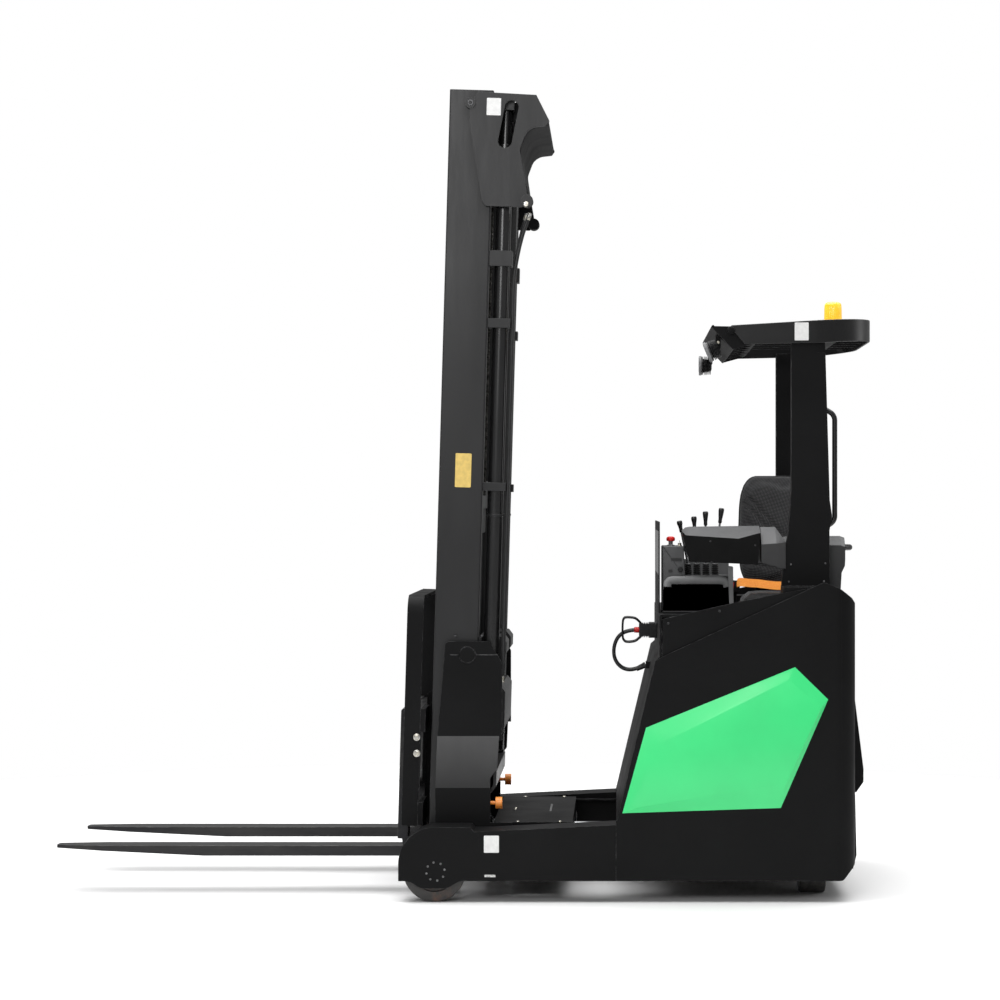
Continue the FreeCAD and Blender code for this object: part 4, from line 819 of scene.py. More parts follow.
def chain_tree():
    """Lays two link shapes in turn along a curve, a pitch apart."""
    tree, given, out = tree_with("links along a curve", Outer="Object", Inner="Object",
                                 Pitch="Float", Finish="Material")
    steps = grow(tree, "GeometryNodeResampleCurve",
                 {"Curve": given["Geometry"], "Length": given["Pitch"]}, mode="LENGTH")
    tangent = grow(tree, "GeometryNodeInputTangent").outputs[0]
    along = grow(tree, "FunctionNodeAlignRotationToVector", {"Vector": tangent}, axis="Z")
    level = grow(tree, "FunctionNodeAlignRotationToVector",
                 {"Rotation": along.outputs[0], "Vector": (0, 1, 0)}, axis="Y", pivot_axis="Z")
    index = grow(tree, "GeometryNodeInputIndex").outputs[0]
    odd = grow(tree, "ShaderNodeMath", {0: index, 1: 2.0}, operation="MODULO").outputs[0]
    even = grow(tree, "ShaderNodeMath", {0: 1.0, 1: odd}, operation="SUBTRACT").outputs[0]
    joined = grow(tree, "GeometryNodeJoinGeometry")
    for label, chosen in (("Outer", even), ("Inner", odd)):
        shape = grow(tree, "GeometryNodeObjectInfo", {"Object": given[label],
                                                      "As Instance": True})
        placed = grow(tree, "GeometryNodeInstanceOnPoints",
                      {"Points": steps.outputs[0], "Selection": chosen,
                       "Instance": shape.outputs["Geometry"], "Rotation": level.outputs[0]})
        tree.links.new(placed.outputs[0], joined.inputs[0])
    end_tree(tree, given, out, joined.outputs[0])
    return tree


TREES = {}
TREE_MAKERS = {"copies": copies_tree, "chain": chain_tree}


def grown(name, kind, source, body, slot, finish, angle=35.0, **inputs):
    """Runs a tree on source, a mesh or a curve, and keeps the plain mesh as a piece."""
    if kind not in TREES:
        TREES[kind] = TREE_MAKERS[kind]()
    tree = TREES[kind]
    host = bpy.data.objects.new(name + " host", source)
    bpy.context.scene.collection.objects.link(host)
    modifier = host.modifiers.new(kind, "NODES")
    modifier.node_group = tree
    values = {"Finish": finish_of(finish), **inputs}
    for socket in tree.interface.items_tree:
        if socket.in_out == "INPUT" and socket.name in values:
            modifier[socket.identifier] = values[socket.name]
    bpy.context.view_layer.update()
    seen = host.evaluated_get(bpy.context.evaluated_depsgraph_get())
    mesh = bpy.data.meshes.new_from_object(seen)
    host.modifiers.clear()
    bpy.data.objects.remove(host)
    bm = bmesh.new()
    bm.from_mesh(mesh)
    shade(bm, angle)
    bm.to_mesh(mesh)
    bm.free()
    return finished(name, mesh, body, slot, finish)


def points_mesh(places):
    """Points with a facing each, for the copies tree."""
    mesh = bpy.data.meshes.new("points")
    mesh.from_pydata([tuple(p) for p, _ in places], [], [])
    facing = mesh.attributes.new("facing", "FLOAT_VECTOR", "POINT")
    for i, (_, direction) in enumerate(places):
        facing.data[i].vector = Vector(direction).normalized()
    return mesh


templates = []


def template(name, bm, angle=35.0):
    """A shape for a tree to repeat; swept away when the pieces are done."""
    bmesh.ops.recalc_face_normals(bm, faces=bm.faces)
    shade(bm, angle)
    mesh = bpy.data.meshes.new(name)
    bm.to_mesh(mesh)
    bm.free()
    shape = bpy.data.objects.new(name, mesh)
    bpy.context.scene.collection.objects.link(shape)
    templates.append(shape)
    return shape


def sweep_templates():
    while templates:
        bpy.data.objects.remove(templates.pop())


# ---- settings ------------------------------------------------------------------------------
class StageSettings(bpy.types.PropertyGroup):
    key: FloatProperty(name="Overhead light", description="Power of the light above the truck",
                       default=1050.0, min=0.0, unit="POWER")
    fill: FloatProperty(name="Fill light", description="Power of the light beside the camera",
                        default=150.0, min=0.0, unit="POWER")
    rim: FloatProperty(name="Edge light", description="Power of the lights behind each end",
                       default=35.0, min=0.0, unit="POWER")
    sky: FloatProperty(name="Surroundings", description="Light from the surroundings",
                       default=0.3, min=0.0)
    floor: FloatVectorProperty(name="Floor", description="Colour of the floor",
                               default=(0.86, 0.86, 0.86), subtype="COLOR", min=0.0, max=1.0)
    lens: FloatProperty(name="Lens", description="Focal length of the camera",
                        default=92.4, unit="CAMERA")


class PaintSettings(bpy.types.PropertyGroup):
    coat: FloatVectorProperty(name="Powder coat", description="Colour of chassis and guard",
                              default=(0.0062, 0.0062, 0.0065), subtype="COLOR", min=0.0, max=1.0)
    mast: FloatVectorProperty(name="Mast paint", description="Colour of the mast's steel",
                              default=(0.022, 0.022, 0.0226), subtype="COLOR", min=0.0, max=1.0)
    cover: FloatVectorProperty(name="Battery cover", description="Colour of the side covers",
                               default=(0.045, 0.72, 0.215), subtype="COLOR", min=0.0, max=1.0)


class SeatSettings(bpy.types.PropertyGroup):
    cloth: FloatVectorProperty(name="Seat cloth", description="Colour of the seat's cloth",
                               default=(0.026, 0.026, 0.027), subtype="COLOR", min=0.0, max=1.0)
    pressure: FloatProperty(name="Cushion pressure", description="How hard the foam fills it",
                            default=4.0, min=0.0)
    swell: FloatProperty(name="Cushion swell", description="Most that a point may move out",
                         default=0.012, min=0.0, unit="LENGTH")


# ---- stage ---------------------------------------------------------------------------------
def area_light(name, place, target, size, power):
    light = bpy.data.lights.new(name, "AREA")
    light.shape = "RECTANGLE"
    light.size, light.size_y = size
    light.energy = power
    lamp = bpy.data.objects.new(name, light)
    lamp.location = place
    lamp.rotation_euler = (Vector(target) - Vector(place)).to_track_quat("-Z", "Y").to_euler()
    bpy.context.scene.collection.objects.link(lamp)


CAMERA_AT = (0.593, -10.385, 1.512)
CAMERA_SHIFT = (-0.115, 0.005)
FLOOR_RADIUS = 4.6
# name, place, aim, size, and the setting that holds the power
LIGHTS = (
    ("overhead", (0.1, 0.2, 6.5), (0.1, 0.0, 1.0), (10.0, 8.5), "key"),
    ("fill", (-1.4, -8.5, 4.4), (0.0, 0.0, 2.0), (2.6, 2.4), "fill"),
    ("left edge", (-5.5, 2.0, 3.4), (0.0, 0.0, 1.4), (1.6, 4.5), "rim"),
    ("right edge", (6.0, 1.2, 3.6), (0.8, 0.0, 1.2), (1.6, 4.5), "rim"),
)


class TRUCK_OT_stage(bpy.types.Operator):
    """Makes the camera, the pale floor and the soft lights"""

    bl_idname = "truck.stage"
    bl_label = "Stage, camera and lights"

    def execute(self, context):
        scene = context.scene
        settings = scene.truck_stage
        lens = bpy.data.cameras.new("camera")
        lens.lens = settings.lens
        lens.shift_x, lens.shift_y = CAMERA_SHIFT
        camera = bpy.data.objects.new("camera", lens)
        camera.location = CAMERA_AT
        camera.rotation_euler = (math.radians(90), 0, 0)
        scene.collection.objects.link(camera)
        scene.camera = camera

        bm = bmesh.new()
        bmesh.ops.create_circle(bm, cap_ends=True, radius=FLOOR_RADIUS, segments=96)
        mesh = bpy.data.meshes.new("floor")
        bm.to_mesh(mesh)
        bm.free()
        paper = Finish("studio paper", settings.floor, 0.85)
        varied(paper, 0.01, 0.6)
        mesh.materials.append(paper.material)
        floor = bpy.data.objects.new("floor", mesh)
        scene.collection.objects.link(floor)

        for name, place, aim, size, power in LIGHTS:
            area_light(name, place, aim, size, getattr(settings, power))

        world = bpy.data.worlds.new("surroundings")
        world.use_nodes = True
        sky = world.node_tree.nodes["Background"]
        sky.inputs["Color"].default_value = (1.0, 1.0, 1.0, 1.0)
        direct = world.node_tree.nodes.new("ShaderNodeLightPath").outputs["Is Camera Ray"]
        strength = world.node_tree.nodes.new("ShaderNodeMapRange")
        strength.inputs["To Min"].default_value = settings.sky
        world.node_tree.links.new(direct, strength.inputs["Value"])
        world.node_tree.links.new(strength.outputs[0], sky.inputs["Strength"])
        scene.world = world
        scene.view_settings.view_transform = "Standard"
        return {"FINISHED"}


# ---- battery cables ------------------------------------------------------------------------
CABLE_POINTS = [(0.690, 1.007), (0.649, 1.007), (0.607, 0.985), (0.587, 0.939), (0.590, 0.887),
                (0.622, 0.850), (0.671, 0.844), (0.717, 0.866)]
CABLE_Y = 0.013
CABLE_R = 0.0075


class TRUCK_OT_battery_cables(bpy.types.Operator):
    """Makes the two power cables between the battery plug and the front wall"""

    bl_idname = "truck.battery_cables"
    bl_label = "Battery cables"

    def execute(self, context):
        for name, y in (("battery_cable_left", -CABLE_Y), ("battery_cable_right", CABLE_Y)):
            curve = bpy.data.curves.new(name + "_line", "CURVE")
            curve.dimensions = "3D"
            spline = curve.splines.new("NURBS")
            spline.points.add(len(CABLE_POINTS) - 1)
            for point, (x, z) in zip(spline.points, CABLE_POINTS):
                point.co = (x, y, z, 1.0)
            spline.order_u = 3
            spline.use_endpoint_u = True
            spline.resolution_u = 10
            curve.bevel_depth = CABLE_R
            curve.bevel_resolution = 5
            curve.use_fill_caps = True
            curve.materials.append(finish_of("black rubber"))
            cable = bpy.data.objects.new(name + "_line", curve)
            context.scene.collection.objects.link(cable)
            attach(cable, "chassis")
            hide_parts(name)
        bm = bmesh.new()
        x, z = CABLE_POINTS[-1]
        before = Vector((CABLE_POINTS[-2][0], 0, CABLE_POINTS[-2][1]))
        end = Vector((x, 0, z))
        back = (before - end).normalized()
        for y in (-CABLE_Y, CABLE_Y):
            place = end + Vector((0, y, 0))
            turned(bm, [(0, 0.0), (0.0118, 0.0), (0.0118, 0.008), (0.0104, 0.01), (0.0104, 0.02),
                        (0.0088, 0.034), (0.0081, 0.042), (0, 0.042)], place, back, 24)
        piece_of("cable_boots", bm, "chassis", "soft_black", "black rubber")
        return {"FINISHED"}


# ---- carried-over nodes --------------------------------------------------------------------
CARRIED = {
    "black powder coat": ["rear_frame", "rear_wall", "front_wall", "seat_frame", "castor_fork",
                          "fork_carriage", "battery_hood", "hydraulics_hood"],
    "mast paint": ["free_barrel", "reach_barrel", "tilt_barrels"],
    "gloss cylinder paint": ["lift_barrels", "lift_rods", "free_ram"],
    "hard chrome": ["reach_ram", "tilt_rods"],
    "worn fork steel": ["fork_bars"],
    "machined steel": ["reach_rollers", "drive_unit"],
    "brown polyurethane": ["left_load_wheel", "right_load_wheel"],
    "dark polyurethane": ["drive_wheel", "castor_wheel"],
    "ribbed floor mat": ["floor_plate"],
    "battery case paint": ["battery"],
}


class TRUCK_OT_carried_nodes(bpy.types.Operator):
    """Gives the construction model's own nodes their finishes"""

    bl_idname = "truck.carried_nodes"
    bl_label = "Finishes of the frame"

    def execute(self, context):
        for finish, nodes in CARRIED.items():
            for node in nodes:
                mesh = NODES[node].data
                for i in range(len(mesh.materials)):
                    mesh.materials[i] = finish_of(finish)
        return {"FINISHED"}


# ---- seat ----------------------------------------------------------------------------------
SEAT_LEAN = math.radians(3.0)
SEAT_LOW = Vector((0, 0.312, 1.165))
CLOTH_GRID = 0.009
FOAM_FRAMES = 20
SEAM_DEPTH = 0.006
SEAM_WIDTH = 0.006
STITCH_PITCH = 0.008


def seat_section(half, low, high, radius, arch):
    """Half-rounded cross-section in width and thickness with an arched upper side."""
    outline = rounded([(-half, low, radius * 0.55), (half, low, radius * 0.55),
                       (half, high, radius), (-half, high, radius)], radius, 6)
    return [(u, v + (arch * (1 - (u / half) ** 2) if v > (low + high) / 2 else 0))
            for u, v in outline]


def filled(name, bm, slot, settings, *finish_names):
    """Closes a shell into a padded piece: cloth blown up by the foam's pressure."""
    bmesh.ops.remove_doubles(bm, verts=bm.verts, dist=1e-6)
    bmesh.ops.recalc_face_normals(bm, faces=bm.faces)
    mesh = bpy.data.meshes.new(name)
    bm.to_mesh(mesh)
    bm.free()
    piece = finished(name, mesh, "chassis", slot, *finish_names)
    remesh = piece.modifiers.new("even cloth", "REMESH")
    remesh.mode = "VOXEL"
    remesh.voxel_size = CLOTH_GRID
    remesh.use_smooth_shade = True
    settle(piece)
    before = [v.co.copy() for v in piece.data.vertices]
    cloth = piece.modifiers.new("foam", "CLOTH")
    cloth.settings.quality = 5
    cloth.settings.mass = 0.3
    cloth.settings.tension_stiffness = 25
    cloth.settings.compression_stiffness = 25
    cloth.settings.bending_stiffness = 2.0
    cloth.settings.use_pressure = True
    cloth.settings.uniform_pressure_force = settings.pressure
    cloth.settings.effector_weights.gravity = 0
    cloth.point_cache.frame_start = 1
    cloth.point_cache.frame_end = FOAM_FRAMES
    for moment in range(1, FOAM_FRAMES + 1):
        bpy.context.scene.frame_set(moment)
    settle(piece)
    bpy.context.scene.frame_set(1)
    out = [v.normal.copy() for v in piece.data.vertices]
    for v, old, normal in zip(piece.data.vertices, before, out):
        move = v.co - old
        most = settings.swell if move.dot(normal) > 0 else settings.swell * 0.25
        if move.length > most:
            v.co = old + move * (most / move.length)
    for finish in finish_names:
        if finish_of(finish).name not in piece.data.materials:
            piece.data.materials.append(finish_of(finish))
    return piece


def pressed_seams(piece, seams, depth, width):
    """Draws the skin in along each seam: seams are point lists near the surface."""
    lines = [[Vector(p) for p in points] for points in seams]
    for v in piece.data.vertices:
        nearest = min((segment_distance(v.co, a, b) for run in lines
                       for a, b in zip(run, run[1:])), default=1.0)
        if nearest < width * 2.2:
            v.co -= v.normal * depth * math.exp(-(nearest / width) ** 2)
    piece.data.update()


def segment_distance(p, a, b):
    along = b - a
    t = max(0.0, min(1.0, (p - a).dot(along) / max(along.length_squared, 1e-9)))
    return (p - (a + along * t)).length


def surface_line(piece, points, lift=0.0008):
    """The points moved onto the piece's skin, with the skin's direction at each."""
    made = []
    for point in points:
        _, at, normal, _ = piece.closest_point_on_mesh(Vector(point))
        made.append((at + normal * lift, normal))
    return made


def piping(name, piece, points, radius, finish):
    """A thin sewn cord laid on the piece's skin."""
    bm = bmesh.new()
    run = [at for at, _ in surface_line(piece, points, radius * 0.4)]
    swept(bm, run, radius, 8, closed=True)
    piece_of(name, bm, "chassis", "seat_fabric", finish)


def stitches_along(name, piece, runs, spacing, finish):
    """Short threads set in rows on the skin, end to end with gaps."""
    places = []
    for points in runs:
        run = smooth_run(points, 4)
        total = sum((b - a).length for a, b in zip(run, run[1:]))
        count = max(2, int(total / spacing))
        travelled, index = 0.0, 0
        for k in range(count):
            goal = total * (k + 0.5) / count
            while index < len(run) - 2 and travelled + (run[index + 1] - run[index]).length < goal:
                travelled += (run[index + 1] - run[index]).length
                index += 1
            step = run[index + 1] - run[index]
            spot = run[index] + step * ((goal - travelled) / max(step.length, 1e-9))
            at, _ = surface_line(piece, [spot], 0.0004)[0]
            places.append((at, step))
    bm = bmesh.new()
    length = spacing * 0.32
    turned(bm, [(0, -length), (0.0006, -length * 0.8), (0.0008, 0), (0.0006, length * 0.8),
                (0, length)], (0, 0, 0), (0, 0, 1), 6)
    shape = template(name + " thread", bm)
    return grown(name, "copies", points_mesh(places), "chassis", "seat_fabric", finish,
                 Shape=shape, Size=1.0)


def sewn(piece, seams, on_side, shift):
    """Presses the seams in, smooths the skin, gives the sides their cloth and adds stitches."""
    pressed_seams(piece, [[at for at, _ in surface_line(piece, smooth_run(run, 5), 0)]
                          for run in seams], SEAM_DEPTH, SEAM_WIDTH)
    soft = piece.modifiers.new("smooth skin", "SUBSURF")
    soft.levels = soft.render_levels = 1
    settle(piece)
    for polygon in piece.data.polygons:
        polygon.use_smooth = True
        if on_side(polygon.center):
            polygon.material_index = 1
    node = piece.name.removesuffix("_padded")
    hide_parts(node)
    across, deep, high = shift
    runs = [[(x + across, y + deep, z + high) for x, y, z in run] for run in seams]
    stitches_along(node + "_stitches", piece, runs, STITCH_PITCH, "charcoal moulding")


class TRUCK_OT_seat(bpy.types.Operator):
    """Foam-filled cushion and backrest with seams, piping and stitches"""

    bl_idname = "truck.seat"
    bl_label = "Seat"

    def execute(self, context):
        settings = context.scene.truck_seat
        self.cushion(settings)
        self.backrest(settings)
        return {"FINISHED"}

    def cushion(self, settings):
        low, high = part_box("seat_cushion")
        inset = settings.swell * 0.6
        mid = (low.x + high.x) / 2
        half = (high.x - low.x) / 2 - inset
        bm = bmesh.new()
        sections = []
        front, back = low.y + inset, high.y - inset
        for t in (0, 0.03, 0.1, 0.22, 0.4, 0.6, 0.8, 0.92, 0.98, 1):
            edge = min(t, 1 - t)
            pull = 0.035 * max(0, 1 - edge / 0.1) ** 2
            top = high.z - inset - 0.012 - (0.045 * max(0, 1 - t / 0.14) ** 2
                                            + 0.03 * max(0, 1 - (1 - t) / 0.1) ** 2)
            base = low.z + inset + 0.02 * max(0, 1 - edge / 0.06) ** 2
            y = front + t * (back - front)
            sections.append([Vector((mid + u, y, v)) for u, v in
                             seat_section(half - pull, base, top, 0.04, 0.010)])
        loft(bm, sections)
        piece = filled("seat_cushion_padded", bm, "seat_fabric", settings,
                       "charcoal seat cloth", "seat side vinyl")
        wide, deep = half - 0.055, 0.05
        y0, y1 = front + deep, back - 0.02
        top = high.z
        left, right, turn = mid - wide, mid + wide, 0.03
        seams = [[(left, y1, top), (left, y0 + turn, top), (left + turn, y0, top),
                  (right - turn, y0, top), (right, y0 + turn, top), (right, y1, top)]]
        seams += [[(left, y, top), (right, y, top)] for y in (y0 + 0.13, y0 + 0.24)]
        sewn(piece, seams, lambda at: at.z < high.z - 0.046 or at.y < low.y + 0.11,
             (0, 0.006, 0))

    def backrest(self, settings):
        low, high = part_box("seat_backrest")
        inset = settings.swell * 0.6
        mid = (low.x + high.x) / 2
        half = (high.x - low.x) / 2 - inset
        tilt = Matrix.Rotation(-SEAT_LEAN, 4, "X")
        front, back = 0.312 + inset, 0.402 - inset
        rows = []
        for z, width, bulge in ((1.166, 0.70, 0), (1.185, 0.82, 0.5), (1.208, 0.90, 0.8),
                                (1.241, 0.96, 0.95), (1.30, 0.99, 1), (1.40, 1.01, 1),
                                (1.512, 0.99, 0.95), (1.56, 0.955, 0.85), (1.595, 0.89, 0.7),
                                (1.622, 0.79, 0.4), (1.636, 0.68, 0)):
            rows.append((z + (inset * 0.6 if z < 1.3 else 0), width, bulge))
        bm = bmesh.new()
        sections = []
        for z, width, bulge in rows:
            middle = (front + back) / 2
            thick = (back - front) / 2 * (0.62 + 0.38 * bulge)
            outline = rectangle(-half * width, middle - thick, half * width, middle + thick,
                                thick * 0.85, 6)
            points = []
            for u, y in outline:
                side = (u / (half * width)) ** 2
                hollow = 0.010 * (1 - side) if y < middle else 0
                place = Vector((0, y + hollow * 0.6, z)) - SEAT_LOW
                place = tilt @ place + SEAT_LOW
                points.append(Vector((mid + u, place.y, place.z)))
            sections.append(points)
        loft(bm, sections)
        piece = filled("seat_backrest_padded", bm, "seat_fabric", settings,
                       "charcoal seat cloth", "seat side vinyl")

        def on_front(u, z):
            place = tilt @ (Vector((0, front - 0.004, z)) - SEAT_LOW) + SEAT_LOW
            return (mid + u, place.y, place.z)

        seams = []
        for side in (-1, 1):
            seams.append([on_front(side * 0.172, 1.570), on_front(side * 0.122, 1.522),
                          on_front(side * 0.060, 1.452), on_front(side * 0.004, 1.386)])
            seams.append([on_front(side * 0.168, 1.525), on_front(side * 0.122, 1.481),
                          on_front(side * 0.070, 1.420), on_front(side * 0.004, 1.345)])
            seams.append([on_front(side * 0.182, 1.30), on_front(side * 0.10, 1.262),
                          on_front(side * 0.004, 1.25)])
        sewn(piece, seams,
             lambda at: at.y > (front + back) / 2 + 0.012 + (at.z - SEAT_LOW.z) * 0.052,
             (0, 0, -0.006))
        edge = [(mid + u * half, on_front(0, z)[1] + 0.028, z) for u, z in
                ((-0.78, 1.178), (-0.97, 1.23), (-0.995, 1.32), (-0.96, 1.43), (-0.88, 1.55),
                 (-0.77, 1.612), (-0.4, 1.626), (0, 1.628), (0.4, 1.626), (0.77, 1.612),
                 (0.88, 1.55), (0.96, 1.43), (0.995, 1.32), (0.97, 1.23), (0.78, 1.178),
                 (0, 1.172))]
        edge = smooth_run([*edge, edge[0]], 6)[:-1]
        piping("seat_backrest_piping", piece, edge, 0.0028, "smooth black plastic")


class TRUCK_OT_belt(bpy.types.Operator):
    """Lap belt laid across the cushion, with its buckle and release button"""

    bl_idname = "truck.belt"
    bl_label = "Lap belt"

    def execute(self, context):
        bm = bmesh.new()
        path = smooth_run([(1.092, 0.140, 1.188), (1.110, 0.132, 1.196), (1.160, 0.134, 1.191),
                           (1.230, 0.140, 1.184), (1.310, 0.146, 1.180), (1.390, 0.146, 1.180),
                           (1.450, 0.144, 1.184), (1.478, 0.146, 1.178)], 6)
        rise = Vector((0, 0.70, 0.714)).normalized()
        sections = []
        for i, here in enumerate(path):
            on = (path[min(i + 1, len(path) - 1)] - path[max(i - 1, 0)]).normalized()
            side = (rise - on * rise.dot(on)).normalized()
            out = on.cross(side)
            roll = 0.0016 * math.sin(i * 0.55)
            wide = 0.0230 - (0.004 if i < 3 else 0)
            sections.append([here + side * u + out * (v + roll) for u, v in
                             ((-wide, -0.0007), (-wide * 0.5, -0.0009), (wide * 0.5, -0.0009),
                              (wide, -0.0007), (wide, 0.0007), (wide * 0.5, 0.0009),
                              (-wide * 0.5, 0.0009), (-wide, 0.0007))])
        loft(bm, sections)
        piece_of("lap_belt", bm, "chassis", "seat_fabric", "orange webbing", angle=60)
        bm = bmesh.new()
        outline = rounded([(1.064, 1.150), (1.104, 1.158), (1.108, 1.200), (1.070, 1.204)],
                          0.008, 4)
        prism(bm, outline, side_on, 0.146, 0.170)
        buckle = piece_of("belt_buckle", bm, "chassis", "black_plastic", "smooth black plastic")
        with_bevel(buckle, 0.003, 3)
        bm = bmesh.new()
        prism(bm, rounded([(1.067, 1.170), (1.080, 1.172), (1.082, 1.194), (1.070, 1.195)],
                          0.002, 3), side_on, 0.1425, 0.1480)
        piece_of("belt_release", bm, "chassis", "black_plastic", "red plastic")
        bm = bmesh.new()
        prism(bm, rounded([(1.066, 1.042), (1.088, 1.042), (1.094, 1.160), (1.072, 1.160)],
                          0.005, 3), side_on, 0.152, 0.162)
        piece_of("belt_stalk", bm, "chassis", "black_plastic", "black powder coat")
        return {"FINISHED"}


# ---- controls ------------------------------------------------------------------------------
LEVER_XS = (0.882, 0.917, 0.953, 0.989)
LEVER_TOPS = ((0.847, 1.450), (0.905, 1.467), (0.951, 1.487), (1.015, 1.500))
LEVER_Y = -0.225
CONSOLE_TOP = 1.236
STEER_AT = Vector((1.425, -0.180, 1.310))


class TRUCK_OT_levers(bpy.types.Operator):
    """Four levers in their bellows, the stop button and the key switch"""

    bl_idname = "truck.levers"
    bl_label = "Hydraulic levers"

    def execute(self, context):
        bellows, stems, knobs = bmesh.new(), bmesh.new(), bmesh.new()
        for x, (tip_x, tip_z) in zip(LEVER_XS, LEVER_TOPS):
            foot = Vector((x, LEVER_Y, CONSOLE_TOP))
            ribs = [(0.0150, 0.0), (0.0150, 0.003)]
            for k in range(5):
                low = 0.005 + k * 0.0079
                out = 0.0148 - k * 0.0003
                ribs += [(out - 0.0034, low), (out, low + 0.0020), (out, low + 0.0056)]
            ribs += [(0.0062, 0.0447), (0.0058, 0.045)]
            turned(bellows, ribs, foot, Z_AXIS, 24)
            root = foot + Vector((0, 0, 0.040))
            tip = Vector((tip_x, LEVER_Y, tip_z))
            run = tip - root
            length = run.length
            turned(stems, [(0.0046, 0), (0.0046, length * 0.3), (0.0042, length * 0.8)],
                   root, run, 16)
            low, high = length * 0.73, length
            turned(knobs, [(0.0048, low), (0.0068, low + 0.002), (0.0074, low + 0.006),
                           (0.0072, low + 0.016), (0.0088, low + 0.028), (0.0108, high - 0.014),
                           (0.0112, high - 0.008), (0.0104, high - 0.003),
                           (0.0082, high - 0.0005), (0, high)],
                   root, run, 24)
        piece_of("lever_bellows", bellows, "chassis", "soft_black", "bellows rubber", angle=50)
        piece_of("lever_stems", stems, "chassis", "chrome_rod", "hard chrome")
        levers = piece_of("lever_knobs", knobs, "chassis", "black_plastic",
                          "gloss cylinder paint")
        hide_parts("hand_controls")
        self.switches()
        return {"FINISHED"}

    def switches(self):
        bm = bmesh.new()
        foot = Vector((0.810, -0.380, 1.352))
        turned(bm, [(0.0165, 0), (0.0165, 0.003), (0.014, 0.005), (0.0085, 0.006),
                    (0.0085, 0.020)], foot, Z_AXIS, 28)
        piece_of("stop_button_collar", bm, "chassis", "black_plastic", "grey plastic")
        bm = bmesh.new()
        turned(bm, [(0.0085, 0.018), (0.0155, 0.0205), (0.017, 0.025), (0.0168, 0.030),
                    (0.0145, 0.0345), (0.009, 0.0372), (0, 0.038)], foot, Z_AXIS, 32)
        piece_of("stop_button", bm, "chassis", "black_plastic", "red plastic")
        foot = Vector((0.845, -0.380, 1.352))
        bm = bmesh.new()
        turned(bm, [(0.0095, 0), (0.0095, 0.003), (0.0070, 0.0045), (0.0070, 0.012),
                    (0.0058, 0.0128), (0, 0.0128)], foot, Z_AXIS, 28)
        low, high = foot.z + 0.010, foot.z + 0.022
        prism(bm, rectangle(foot.x - 0.0012, low, foot.x + 0.0012, high, 0.0006, 2),
              side_on, foot.y - 0.006, foot.y + 0.006)
        piece_of("key_switch", bm, "chassis", "chrome_rod", "passivated zinc")


